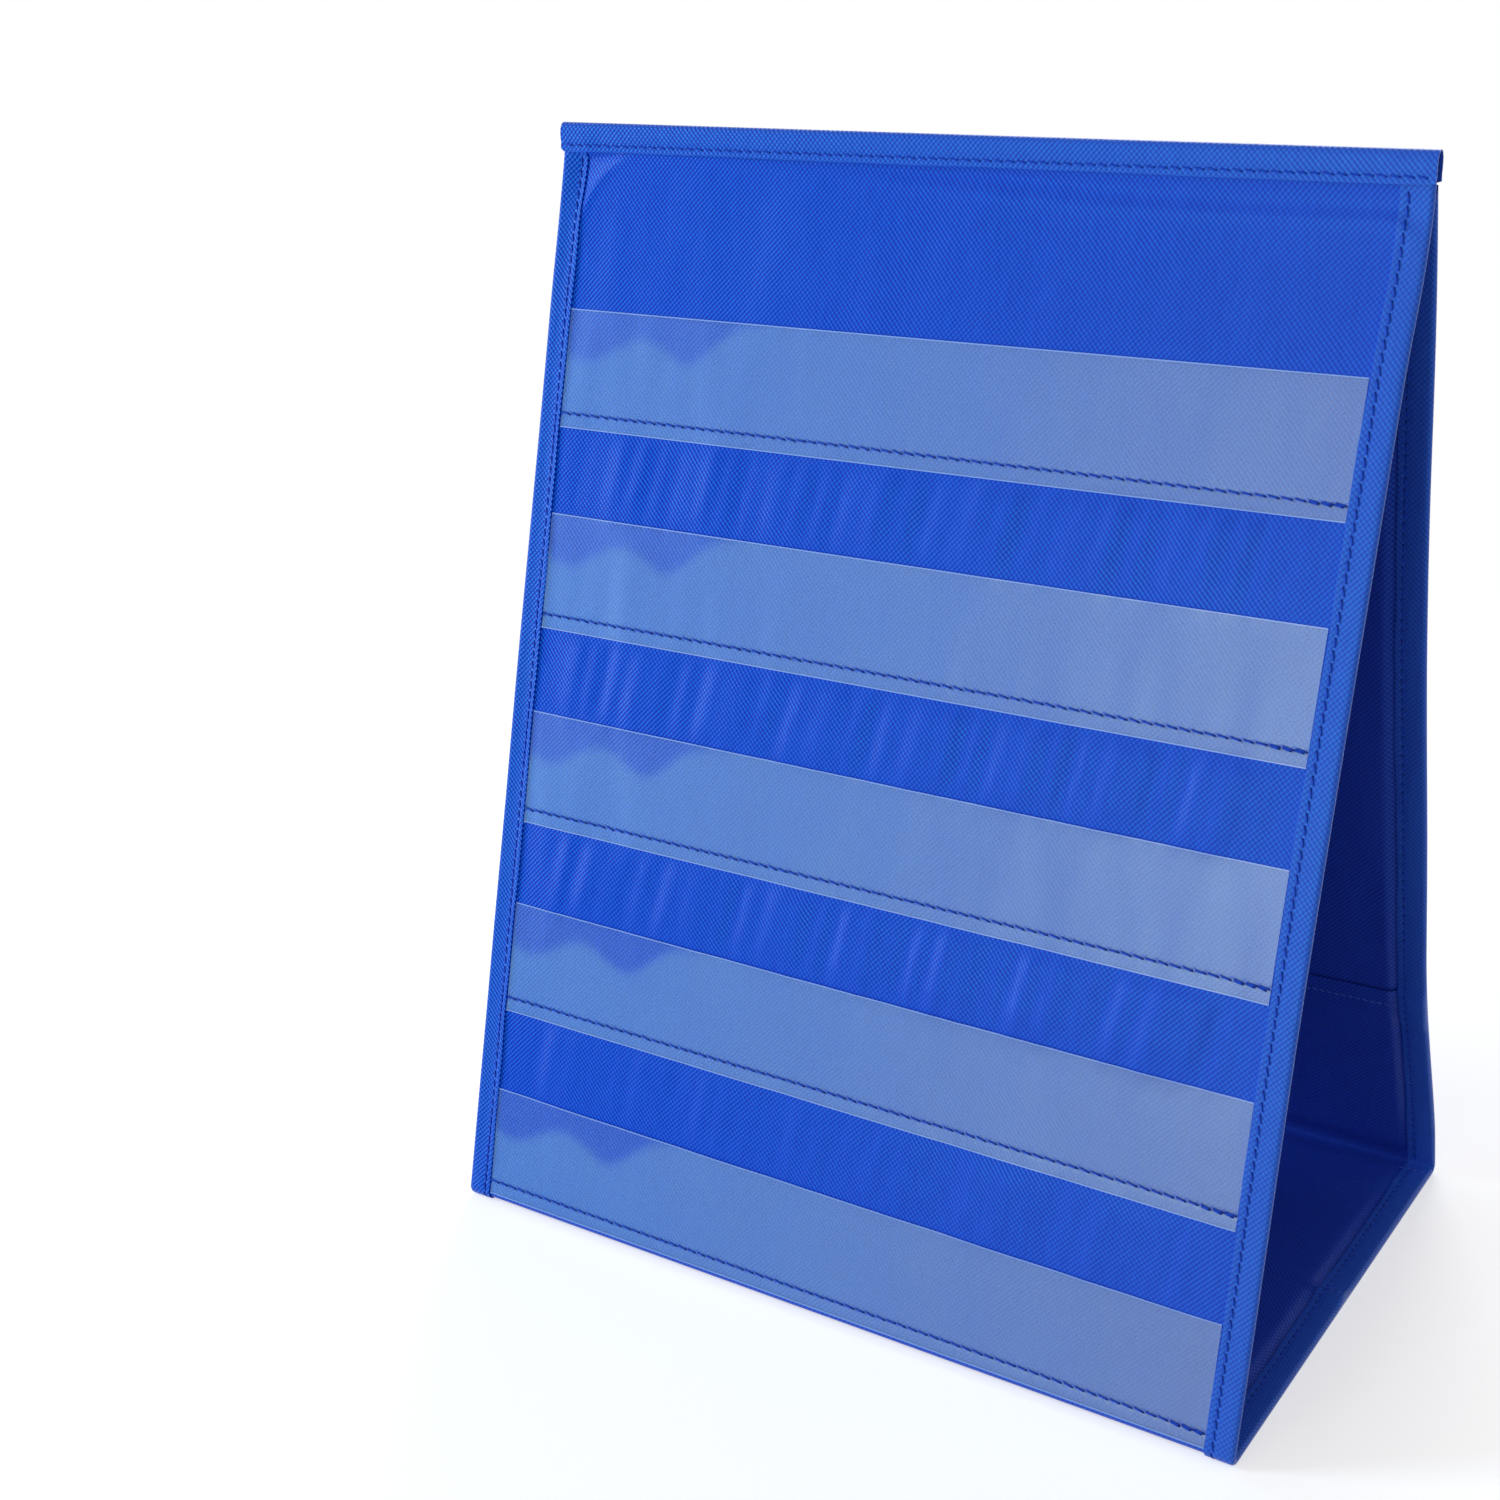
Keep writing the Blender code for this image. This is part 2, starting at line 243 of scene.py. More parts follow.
SEAM_RIDGE = 1.3 * MM
SEAM_RIDGE_REACH = 5.5 * MM
CREASE = 0.8 * MM
CREASE_REACH = 0.9 * MM
CREASE_START = np.array((128 * MM, 64 * MM))
CREASE_END = np.array((158 * MM, 92 * MM))
CREASE_RISES = (0, 12 * MM)
CREASE_FALLS = (42 * MM, 36 * MM)


def base_lift(x, y):
    """How the layers of the base lift: a low ridge along the middle seam, and a crease near the back fold."""
    seam = SEAM_RIDGE * np.exp(-((y / SEAM_RIDGE_REACH) ** 2))
    along = (CREASE_END - CREASE_START) / np.linalg.norm(CREASE_END - CREASE_START)
    off = (x - CREASE_START[0]) * along[1] - (y - CREASE_START[1]) * along[0]
    went = (x - CREASE_START[0]) * along[0] + (y - CREASE_START[1]) * along[1]
    crease = CREASE * np.exp(-((off / CREASE_REACH) ** 2))
    return seam + crease * eased(went, *CREASE_RISES) * eased(went, *CREASE_FALLS)


def base_place(x, y, depth):
    """Points of the base, by how far across, how far back and up from the sole cloth's outer face."""
    x, y, depth = np.broadcast_arrays(x, y, depth)
    lift = base_lift(x, y) * smooth((depth - CLOTH) / LAYER_GAP)
    return np.stack([x, y, SOLE + depth + lift], axis=-1)


def make_piece(name, points, groups, flat):
    """A smooth piece from groups of faces, each point with its place when the piece is laid out flat."""
    mesh = bpy.data.meshes.new(name)
    mesh.from_pydata(points.tolist(), [], [face for group in groups for face in group.tolist()])
    corners = np.concatenate([group.ravel() for group in groups])
    layer = mesh.uv_layers.new(name="flat")
    layer.data.foreach_set("uv", flat[corners].astype(np.float32).ravel())
    mesh.shade_smooth()
    piece = bpy.data.objects.new(name, mesh)
    bpy.context.collection.objects.link(piece)
    return piece


def shell(name, outer, inner, across, down):
    """A closed sheet between two grids of points, laid out flat by each point's place on the cut cloth."""
    rows, columns = outer.shape[:2]
    points = np.concatenate([outer.reshape(-1, 3), inner.reshape(-1, 3)])
    number = np.arange(rows * columns).reshape(rows, columns)
    under = number + rows * columns
    squares = [number[:-1, :-1], number[:-1, 1:], number[1:, 1:], number[1:, :-1]]
    faces = [np.stack(squares, axis=-1).reshape(-1, 4)]
    faces.append(np.stack([grid + rows * columns for grid in squares[::-1]], axis=-1).reshape(-1, 4))
    borders = [(number[0], under[0]), (number[-1][::-1], under[-1][::-1])]
    borders += [(number[:, 0][::-1], under[:, 0][::-1]), (number[:, -1], under[:, -1])]
    for edge, below in borders:
        faces.append(np.stack([edge[1:], edge[:-1], below[:-1], below[1:]], axis=-1))
    faces = np.concatenate(faces)
    a, b, c, d = (points[faces[:, corner]] for corner in range(4))
    if (np.cross(b - a, c - a) * a).sum() + (np.cross(c - a, d - a) * a).sum() < 0:
        faces = faces[:, ::-1]
    flat = np.stack(np.broadcast_arrays(across, down), axis=-1).reshape(-1, 2)
    piece = make_piece(name, points, [faces], np.concatenate([flat, flat]))
    piece.data.set_sharp_from_angle(angle=SHARP_TURN)
    return piece


def layer(name, place, x, length, outer, thickness):
    """A sheet whose outer face lies at the depth given."""
    return shell(name, place(x, length, outer), place(x, length, outer + thickness), x, length)


def stepped(start, end, step):
    """Even steps from start to end, no longer than step."""
    return np.linspace(start, end, max(int(math.ceil(abs(end - start) / step)), 1) + 1)


def colour(code):
    """A linear colour from an sRGB hex code."""
    values = [int(code[at : at + 2], 16) / 255 for at in (1, 3, 5)]
    return (*[v / 12.92 if v <= 0.04045 else ((v + 0.055) / 1.055) ** 2.4 for v in values], 1)


def feed(material, node, inputs):
    """Sets a node's inputs, or links them from other nodes: from a socket or from a node's first output."""
    for socket, value in inputs.items():
        if isinstance(value, bpy.types.Node):
            value = value.outputs[0]
        if isinstance(value, bpy.types.NodeSocket):
            material.node_tree.links.new(value, node.inputs[socket])
        else:
            node.inputs[socket].default_value = value


def add(material, kind, inputs, **settings):
    """Adds a node with its settings, and its values and links in. A mix of colours takes them at 6 and 7."""
    node = material.node_tree.nodes.new(kind)
    for setting, value in settings.items():
        setattr(node, setting, value)
    feed(material, node, inputs)
    return node


def new_material(name, values):
    """A material and its Principled shader, which has these plain values."""
    material = bpy.data.materials.new(name)
    material.use_nodes = True
    shader = material.node_tree.nodes["Principled BSDF"]
    feed(material, shader, values)
    return material, shader


# Greyboard is pressed from waste paper: dull, with darker flecks about 0.8 mm wide.
greyboard, pressed = new_material("grey_pressed_board", {"Roughness": 0.9, "IOR": 1.5})
where = add(greyboard, "ShaderNodeTexCoord", {})
flecks = {"Vector": where.outputs["Object"], "Scale": 1 / FLECK, "Detail": 3}
flecks = add(greyboard, "ShaderNodeTexNoise", flecks).outputs["Fac"]
grey = {0: flecks, 6: colour(GREYBOARD), 7: colour(GREYBOARD_FLECK)}
grey = add(greyboard, "ShaderNodeMix", grey, data_type="RGBA").outputs[2]
fibres = add(greyboard, "ShaderNodeBump", {"Height": flecks, "Distance": 0.1 * MM, "Strength": 0.5})
feed(greyboard, pressed, {"Base Color": grey, "Normal": fibres})


def across_board(x):
    """Eases from 0 at a board's left edge to 1 at its right one."""
    return smooth((x / BOARD_HALF + 1) / 2)


def make_board(name, side, neck_tilt):
    """A board along the slope, its top edge tilted a little in its pocket."""
    first = side.neck + BOARD_NECK
    end = side.slope_foot - BOARD_FOLD_MARGIN
    inset = BOARD_RADIUS * (1 - np.cos(np.linspace(0, math.pi / 2, 7)))
    straight = stepped(first + BOARD_RADIUS, end - BOARD_RADIUS, BOARD_STEP)[1:-1]
    rings = np.concatenate([first + inset, straight, (end - inset)[::-1]])
    near_end = np.minimum(rings - first, end - rings)
    drop = BOARD_RADIUS - np.minimum(near_end, BOARD_RADIUS)
    half = BOARD_HALF - BOARD_RADIUS + np.sqrt(np.maximum(BOARD_RADIUS**2 - drop**2, 0))
    x = half[:, None] * np.linspace(-1, 1, 41)[None, :]
    tilt = neck_tilt * across_board(x) * (1 - (rings - first) / (end - first))[:, None]
    length = rings[:, None] + tilt
    piece = layer(name, side.place, x, length, CLOTH + LAYER_GAP, BOARD)
    piece.data.materials.append(greyboard)
    return piece


front_board = make_board("front_stiffener", front, BOARD_NECK_TILT)
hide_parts("front_board")
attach(front_board, "front_panel")
back_board = make_board("back_stiffener", back, 0)
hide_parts("back_board")
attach(back_board, "back_panel")
for half in ("base_front", "base_back"):
    base_board_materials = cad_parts[f"{half}_board"].data.materials
    base_board_materials.clear()
    base_board_materials.append(greyboard)

# Outer cloth
# One cut of 600 denier polyester, plain woven from thick dyed yarn, goes down the front, under the base
# and up the back. It is sewn through along both folds, and the ridge tape holds its two ends.
CLOTH_HALF = PANEL_HALF - CLOTH - LAYER_GAP
ROW_INSET = 4 * MM
LOWEST = front.floor + ROW_INSET
BASE_REACH = abs(front.axis.y) - ROW_INSET
BACK_TOP_GAP = 0.2 * MM
CLOTH_STEP = 2.5 * MM
NECK_STEP, NECK_REACH = 1.3 * MM, 36 * MM
FOLD_STEP, FLOOR_REACH = 0.5 * MM, 1 * MM
EDGE_REACH = 34 * MM
SEAM_STEP, SEAM_REACH, BASE_STEP = 1 * MM, 9 * MM, 3 * MM
# The cloth's colours, deep in the pits of the weave and bright on its floats: painted shade and painted
# light.
CLOTH_DEEP = "#0224AE"
CLOTH_BRIGHT = "#1062EC"
YARN_SHADE = "#142038"
YARN_SHINE = "#5CEEFF"
YARN_FUZZ = "#8FB4F8"
# The pale colour the cloth takes towards its right edge: a painted haze of light.
PAINTED_HAZE = "#B4CED6"
WARP = 0.94 * MM
WEFT = 1.04 * MM
YARN_DRIFT = 14 * MM
LEAN_DRIFT = 90 * MM
SLUB = 1.3 * MM


def from_left(material, flat, to_min, to_max):
    """A value that goes from to_min at the left edge of the cut cloth to to_max at its right edge."""
    across = add(material, "ShaderNodeSeparateXYZ", {0: flat})
    ends = {"From Min": -PANEL_HALF, "From Max": PANEL_HALF, "To Min": to_min, "To Max": to_max}
    return add(material, "ShaderNodeMapRange", {"Value": across.outputs["X"], **ends})


def plain_weave(material, flat, painted_haze_to_right):
    """The face of a plain weave, by place on the cut cloth: from -1 in the pits to 1 on the floats. The yarns
    drift a little, and one diagonal of the check stands out more here and the other there. Towards the right
    the face flattens, which stands in for the softer light there."""
    drift = add(material, "ShaderNodeTexNoise", {"Vector": flat, "Scale": 1 / YARN_DRIFT, "Detail": 2})
    turns = {0: flat, 1: (math.pi / WARP, math.pi / WEFT, 0), 2: drift.outputs["Color"]}
    turns = add(material, "ShaderNodeVectorMath", turns, operation="MULTIPLY_ADD")
    split = add(material, "ShaderNodeSeparateXYZ", {0: turns})
    both = {0: split.outputs["X"], 1: split.outputs["Y"]}
    rising = add(material, "ShaderNodeMath", both, operation="ADD")
    falling = add(material, "ShaderNodeMath", both, operation="SUBTRACT")
    rising = add(material, "ShaderNodeMath", {0: rising}, operation="COSINE")
    falling = add(material, "ShaderNodeMath", {0: falling}, operation="COSINE")
    lean = add(material, "ShaderNodeTexNoise", {"Vector": flat, "Scale": 1 / LEAN_DRIFT, "Detail": 1})
    ends = {"From Min": 0.35, "From Max": 0.65, "To Min": 0.25, "To Max": 0.75}
    lean = add(material, "ShaderNodeMapRange", {"Value": lean.outputs["Fac"], **ends})
    back = add(material, "ShaderNodeMath", {0: 1.0, 1: lean}, operation="SUBTRACT")
    rising = add(material, "ShaderNodeMath", {0: rising, 1: lean}, operation="MULTIPLY")
    face = {0: falling, 1: back, 2: rising}
    face = add(material, "ShaderNodeMath", face, operation="MULTIPLY_ADD")
    # Towards the right the weave fades: painted light, for the softer light there.
    less = from_left(material, flat, 1, 1 - painted_haze_to_right)
    return add(material, "ShaderNodeMath", {0: face, 1: less}, operation="MULTIPLY")


def woven_polyester(name, deep, bright, relief, painted_haze_to_right, gloss):
    """Plain-woven filament polyester. The floats are shiny, and the colour is painted darker in the pits
    between the yarns and lighter on the floats, as painted shade and painted light; the yarns also differ a
    little in colour. Towards the right the weave stands out less and the colour pales, a painted haze of
    light.
    gloss is how strongly the yarns shine."""
    material, shader = new_material(name, {"Roughness": 0.36, "IOR": 1.55, "Specular IOR Level": gloss})
    feed(material, shader, {"Sheen Weight": 0.05, "Sheen Roughness": 0.35, "Sheen Tint": colour(YARN_FUZZ)})
    flat = add(material, "ShaderNodeUVMap", {}, uv_map="flat")
    face = plain_weave(material, flat, painted_haze_to_right)
    long_way = add(material, "ShaderNodeMapping", {"Vector": flat, "Scale": (1, 0.12, 1)})
    slubs = {"Vector": long_way, "Scale": 1 / SLUB, "Detail": 2}
    slubs = add(material, "ShaderNodeTexNoise", slubs)
    # The weave's face goes into the colour as painted shade in the pits and painted light on the floats.
    lit = add(material, "ShaderNodeMath", {0: face, 1: 0.5, 2: 0.27}, operation="MULTIPLY_ADD")
    share = {0: slubs.outputs["Fac"], 1: 0.3, 2: lit}
    share = add(material, "ShaderNodeMath", share, operation="MULTIPLY_ADD")
    dye_and_painted_light = {0: share, 6: colour(deep), 7: colour(bright)}
    dye_and_painted_light = add(material, "ShaderNodeMix", dye_and_painted_light, data_type="RGBA")
    # Towards the right the colour pales: a painted haze of light.
    dye_and_painted_light = {0: from_left(material, flat, 0, 0.09 * painted_haze_to_right), 6: dye_and_painted_light.outputs[2], 7: colour(PAINTED_HAZE)}
    dye_and_painted_light = add(material, "ShaderNodeMix", dye_and_painted_light, data_type="RGBA")
    floats = add(material, "ShaderNodeMapRange", {"Value": face, "From Min": -0.15, "From Max": 0.85})
    shine = {0: floats, 6: colour(YARN_SHADE), 7: colour(YARN_SHINE)}
    shine = add(material, "ShaderNodeMix", shine, data_type="RGBA")
    grain = add(material, "ShaderNodeBump", {"Height": face, "Distance": relief, "Strength": 0.5})
    feed(material, shader, {"Base Color": dye_and_painted_light.outputs[2], "Specular Tint": shine.outputs[2]})
    feed(material, shader, {"Normal": grain})
    return material


# The yarns lie 0.94 mm apart one way and 1.04 mm the other, as measured along the photographed front.
blue_cloth = woven_polyester("blue_polyester_plain_weave", CLOTH_DEEP, CLOTH_BRIGHT, 0.1 * MM, 0.5, 0.42)


def rows_of(side, start, end):
    """Lengths down a side's line, close together round the neck and the fold."""
    stretches = (
        (0, side.neck + NECK_REACH, NECK_STEP),
        (side.neck + NECK_REACH, side.slope_foot - FOLD_RADIUS, CLOTH_STEP),
        (side.slope_foot - FOLD_RADIUS, side.floor + FLOOR_REACH, FOLD_STEP),
        (side.floor + FLOOR_REACH, side.seam, CLOTH_STEP),
    )
    rows = []
    for low, high, step in stretches:
        low, high = max(low, start), min(high, end)
        if high > low:
            rows.extend(stepped(low, high, step)[:-1])
    return np.array(rows + [end])


def side_cloth(name, side, start, end, depth, material):
    """A cloth layer along a side's line. depth gives where its outer face lies."""
    near_sides = stepped(CLOTH_HALF - EDGE_REACH, CLOTH_HALF, NECK_STEP)
    between = stepped(-near_sides[0], near_sides[0], CLOTH_STEP)[1:-1]
    columns = np.concatenate([-near_sides[::-1], between, near_sides])
    x, length = np.meshgrid(columns, rows_of(side, start, end))
    piece = layer(name, side.place, x, length, depth(x, length), CLOTH)
    piece.data.materials.append(material)
    return piece


def base_rows():
    """Places from one fold's row of stitches to the other's, close together at the middle seam."""
    before = stepped(-BASE_REACH, -SEAM_REACH, BASE_STEP)[:-1]
    after = stepped(SEAM_REACH, BASE_REACH, BASE_STEP)[1:]
    return np.concatenate([before, stepped(-SEAM_REACH, SEAM_REACH, SEAM_STEP), after])


def base_cloth(name, depth, material):
    """A cloth layer across the whole base, from one fold's row of stitches to the other's."""
    x, y = np.meshgrid(stepped(-CLOTH_HALF, CLOTH_HALF, CLOTH_STEP), base_rows())
    piece = layer(name, base_place, x, y, depth(x, y), CLOTH)
    piece.data.materials.append(material)
    return piece


def fold_with(piece, side):
    """Bakes the piece's placement into its points."""
    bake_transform(piece)


def fold_at_seam(piece):
    """Bakes the piece's placement into its points."""
    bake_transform(piece)


POCKETS = 5
POCKET_HEIGHT = 45 * MM
POCKET_NECK_MARGIN = 58.4 * MM
POCKET_FOLD_MARGIN = 3.5 * MM
POCKET_ROW_RISE = 5.5 * MM


def pocket_mouth(number):
    """How far down the front's line a pocket's mouth lies."""
    highest = front.neck + POCKET_NECK_MARGIN
    lowest = front.corner - POCKET_FOLD_MARGIN - POCKET_HEIGHT
    return highest + (lowest - highest) * (number - 1) / (POCKETS - 1)


# The folds below each pocket but the last: the pocket's number, and their height in mm.
FOLD_HEIGHTS = ((1, 1.2), (2, 1.45), (3, 1.6), (4, 0.7))
FOLDED_HALF = 152 * MM
FOLDED_FADE = 24 * MM
HIGHER_ENDS = (-90 * MM, 100 * MM)
FOLD_STARTS = (-1 * MM, 7 * MM)
FOLD_STOPS = (5 * MM, -11 * MM)
FOLD_WANDER, WANDER_LENGTH = 5 * MM, 37 * MM
BROAD_FOLD = 6.2 * MM
FINE_FOLD = 1.8 * MM


def front_folds(x, length):
    """Soft upright folds, where the rows of stitches gather the cloth between the pockets."""
    faded = smooth((x + FOLDED_HALF) / FOLDED_FADE) * smooth((FOLDED_HALF - x) / FOLDED_FADE)
    across = faded * (1 + 0.7 * eased(x, *HIGHER_ENDS))
    lift = 0 * x
    for number, height in FOLD_HEIGHTS:
        row = pocket_mouth(number) + POCKET_HEIGHT - POCKET_ROW_RISE
        below = length - row
        reach = pocket_mouth(number + 1) - row
        held = eased(below - POCKET_ROW_RISE, *FOLD_STARTS) * eased(below - reach, *FOLD_STOPS)
        slant = x + 0.17 * below + FOLD_WANDER * np.sin(x / WANDER_LENGTH + 2 * number)
        broad = np.sin(slant / BROAD_FOLD + 2.3 * number)
        fine = np.sin(slant / FINE_FOLD + 3 * number)
        fine = fine * (0.6 + 0.4 * np.sin(x / BROAD_FOLD + 1.1 * number))
        lift = lift + height * MM * held * across * (0.5 + 0.25 * broad + 0.25 * fine)
    return lift


def folded_face(x, length):
    """The depth of the front cloth's outer face."""
    return -front_folds(x, length)


def plain_face(x, length):
    """The depth of an outer face that lies on its side's line."""
    return 0 * x


front_cloth = side_cloth("front_outer_cloth", front, 0, LOWEST, folded_face, blue_cloth)
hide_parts("front_face_cloth")
fold_with(front_cloth, front)

back_cloth = side_cloth("back_outer_cloth", back, back.neck + BACK_TOP_GAP, LOWEST, plain_face, blue_cloth)
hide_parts("back_face_cloth")
fold_with(back_cloth, back)

sole_cloth = base_cloth("base_outer_cloth", plain_face, blue_cloth)
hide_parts("base_front_sole_cloth", "base_back_sole_cloth")
fold_at_seam(sole_cloth)

top_edge = side_cloth("back_cloth_in_ridge", back, 0, back.neck, plain_face, blue_cloth)
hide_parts("back_cloth_top_edge")
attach(top_edge, "front_panel")

# Lining
# The same cloth, in a deeper blue, lines the inside. It lies against the outer cloth at the edges and
# over the boards between. The lower back lining laps over the upper one, its top edge turned under.
# Like the outer cloth's, these run from painted shade in the weave's pits to painted light on its floats.
LINING_DEEP = "#10249A"
LINING_BRIGHT = "#2054D6"
EDGE_STACK = 2 * CLOTH + LAYER_GAP
BOARD_STACK = EDGE_STACK + BOARD + LAYER_GAP
RISE_LENGTH = 9 * MM
RISE_WIDTH = 4 * MM
LAP = back.corner - 102 * MM
LAP_OVER = 14 * MM
LAP_FADE = 6 * MM
LAP_GAP = 0.1 * MM
HEM = 0.35 * MM
HEM_ENDS = (6 * MM, 7.5 * MM)
lining_cloth = woven_polyester("deep_blue_polyester_lining", LINING_DEEP, LINING_BRIGHT, 0.1 * MM, 0.3, 0.2)


def over_board(x, before, after):
    """How far the lining rises over a board, by how far inside the board's ends and sides a point lies."""
    inside = smooth((BOARD_HALF + RISE_WIDTH - np.abs(x)) / RISE_WIDTH)
    along = smooth(np.minimum(before, after) / RISE_LENGTH + 1)
    return CLOTH + LAYER_GAP + (BOARD_STACK - EDGE_STACK) * inside * along


def slope_lining(side, neck_tilt):
    """The depth of a side's lining over its board."""

    def depth(x, length):
        first = side.neck + BOARD_NECK + neck_tilt * across_board(x)
        return over_board(x, length - first, side.slope_foot - BOARD_FOLD_MARGIN - length)

    return depth


def lap_rise(length):
    """How much further in the lower back lining lies where it laps over the upper one."""
    return (CLOTH + LAP_GAP) * (1 - smooth((length - LAP - LAP_OVER) / LAP_FADE))


def lower_back_depth(x, length):
    """The depth of the lower back lining, thicker where its top edge is turned under."""
    hem = HEM * (1 - eased(length - LAP, *HEM_ENDS))
    return slope_lining(back, 0)(x, length) + lap_rise(length) + hem


def base_lining_depth(x, y):
    """The depth of the base's lining over its two boards."""
    reach = abs(front.axis.y) - BOARD_FOLD_MARGIN
    return over_board(x, np.abs(y) - BOARD_SEAM_MARGIN, reach - np.abs(y))


def edge_lining_depth(x, length):
    """The depth of the lining where it lies straight on the outer cloth."""
    return 0 * x + CLOTH + LAYER_GAP


front_depth = slope_lining(front, BOARD_NECK_TILT)
front_lining = side_cloth("front_inner_lining", front, 0, LOWEST, front_depth, lining_cloth)
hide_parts("front_lining")
fold_with(front_lining, front)

upper_ends = (back.neck + BACK_TOP_GAP, LAP + LAP_OVER)
upper_lining = side_cloth("back_inner_upper_lining", back, *upper_ends, slope_lining(back, 0), lining_cloth)
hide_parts("back_upper_lining")
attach(upper_lining, "back_panel")

lower_lining = side_cloth("back_inner_lower_lining", back, LAP, LOWEST, lower_back_depth, lining_cloth)
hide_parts("back_lower_lining")
fold_with(lower_lining, back)

base_lining = base_cloth("base_inner_lining", base_lining_depth, lining_cloth)
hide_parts("base_front_lining", "base_back_lining")
fold_at_seam(base_lining)

top_lining = side_cloth("back_lining_in_ridge", back, 0, back.neck, edge_lining_depth, lining_cloth)
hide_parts("back_lining_top_edge")
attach(top_lining, "front_panel")

# Clear pockets
# Five strips of clear vinyl film, cut with a blade and sewn through the front cloth along the foot.
# The needle dimples the film at each stitch. The mouth stands a little open for a card.
POCKET_HALF = PANEL_HALF - 10.8 * MM
FILM = 0.3 * MM
FILM_REST = 0.06 * MM
# The band along each cut edge of a film that takes the painted highlight.
PAINTED_EDGE_BAND = 0.45 * MM
FOOT_LIP = 0.12 * MM
MOUTH_OPEN = 0.8 * MM
MOUTH_WAVE = 52 * MM
POCKET_STITCH = 4.4 * MM
DIMPLE = 0.3 * MM
DIMPLE_REACH = 0.85 * MM
FILM_STEP = 3 * MM
DIMPLE_STEP = 0.6 * MM
FILM_HAZE = "#92DEFF"
# The grey the film's haze takes towards its right end: a painted reflection of the bright room.
FILM_PAINTED_GLARE = "#B4CCDA"
# The pale colour of the films' cut edges: a painted highlight.
FILM_EDGE_HIGHLIGHT = "#6E98E6"
FILM_SHEEN = "#B0DAF4"
FILM_PATCH = 38 * MM

# Clear plasticised vinyl, calendered: milky from many tiny scuff marks, and a glossy skin that mirrors the
# room softly. Over the haze lies a painted reflection: least in each film's upper left corner, and strongest
# and greyest at its right end.
film_clear = bpy.data.materials.new("clear_calendered_vinyl")
film_clear.use_nodes = True
film_clear.node_tree.nodes.remove(film_clear.node_tree.nodes["Principled BSDF"])
film_flat = add(film_clear, "ShaderNodeUVMap", {}, uv_map="flat")
patchy = add(film_clear, "ShaderNodeTexNoise", {"Vector": film_flat, "Scale": 1 / FILM_PATCH, "Detail": 2})
patchy = {0: patchy.outputs["Fac"], 1: 0.03, 2: -0.015}
patchy = add(film_clear, "ShaderNodeMath", patchy, operation="MULTIPLY_ADD")
# How hazy the film is, with the painted reflection in it, comes from each point's attribute.
film_haze_and_painted_glare = add(film_clear, "ShaderNodeAttribute", {}, attribute_name="film_haze_and_painted_glare")
milky = {0: film_haze_and_painted_glare.outputs["Fac"], 1: 0.085, 2: patchy}
milky = add(film_clear, "ShaderNodeMath", milky, operation="MULTIPLY_ADD")
film_across = add(film_clear, "ShaderNodeSeparateXYZ", {0: film_flat})
# Towards the right end the haze turns grey: painted reflection.
greyer = {"Value": film_across.outputs["X"], "From Min": -POCKET_HALF, "From Max": POCKET_HALF}
greyer = add(film_clear, "ShaderNodeMapRange", greyer)
haze_tint_with_painted_glare = {0: greyer, 6: colour(FILM_HAZE), 7: colour(FILM_PAINTED_GLARE)}
haze_tint_with_painted_glare = add(film_clear, "ShaderNodeMix", haze_tint_with_painted_glare, data_type="RGBA")
haze = add(film_clear, "ShaderNodeBsdfDiffuse", {"Color": haze_tint_with_painted_glare.outputs[2]})
through = add(film_clear, "ShaderNodeBsdfTransparent", {"Color": (0.995, 0.995, 0.995, 1)})
body = {0: milky, 1: through, 2: haze}
body = add(film_clear, "ShaderNodeMixShader", body)
mirror = add(film_clear, "ShaderNodeBsdfAnisotropic", {"Color": colour(FILM_SHEEN), "Roughness": 0.36})
facing = add(film_clear, "ShaderNodeLayerWeight", {"Blend": 0.5})
grazing = add(film_clear, "ShaderNodeMath", {0: facing.outputs["Facing"], 1: 5.0}, operation="POWER")
mirrored = {0: grazing, 1: 0.96, 2: 0.037}
mirrored = add(film_clear, "ShaderNodeMath", mirrored, operation="MULTIPLY_ADD")
skin = {0: mirrored, 1: body, 2: mirror}
skin = add(film_clear, "ShaderNodeMixShader", skin)
feed(film_clear, film_clear.node_tree.nodes["Material Output"], {"Surface": skin})

# The pale colour of a cut edge of vinyl, and of a narrow band beside it, is a painted highlight.
film_edge_highlight = {"Base Color": colour(FILM_EDGE_HIGHLIGHT), "Roughness": 0.35, "IOR": 1.53}
film_edge_highlight = new_material("painted_highlight_on_cut_vinyl", film_edge_highlight)[0]

THREAD = 0.36 * MM
NAVY = "#0C46C4"
NAVY_DEEP = "#052480"
PLY_SCALE = 1 / (9 * MM)
STITCH_SLANT, STITCH_SLANT_SPREAD = 0.34 * MM, 0.07 * MM
STITCH_SHARE, STITCH_SHARE_SPREAD = 0.44, 0.015


def spun_polyester(name, deep, bright):
    """Bonded polyester thread, twisted from three plies of 0.2 mm: dull, with painted shade in the grooves
    between them. They are drawn far coarser than they are, 4 mm apart, so that they show."""
    material, shader = new_material(name, {"Roughness": 0.5, "IOR": 1.55, "Specular IOR Level": 0.15})
    flat = add(material, "ShaderNodeUVMap", {}, uv_map="flat")
    plies = {"Vector": flat, "Scale": PLY_SCALE}
    plies = add(material, "ShaderNodeTexWave", plies, bands_direction="DIAGONAL").outputs["Fac"]
    dye_and_painted_light = add(material, "ShaderNodeMix", {0: plies, 6: colour(deep), 7: colour(bright)}, data_type="RGBA")
    twist = add(material, "ShaderNodeBump", {"Height": plies, "Distance": 0.05 * MM, "Strength": 0.7})
    feed(material, shader, {"Base Color": dye_and_painted_light.outputs[2], "Normal": twist})
    return material


thread = spun_polyester("navy_bonded_polyester_thread", NAVY_DEEP, NAVY)


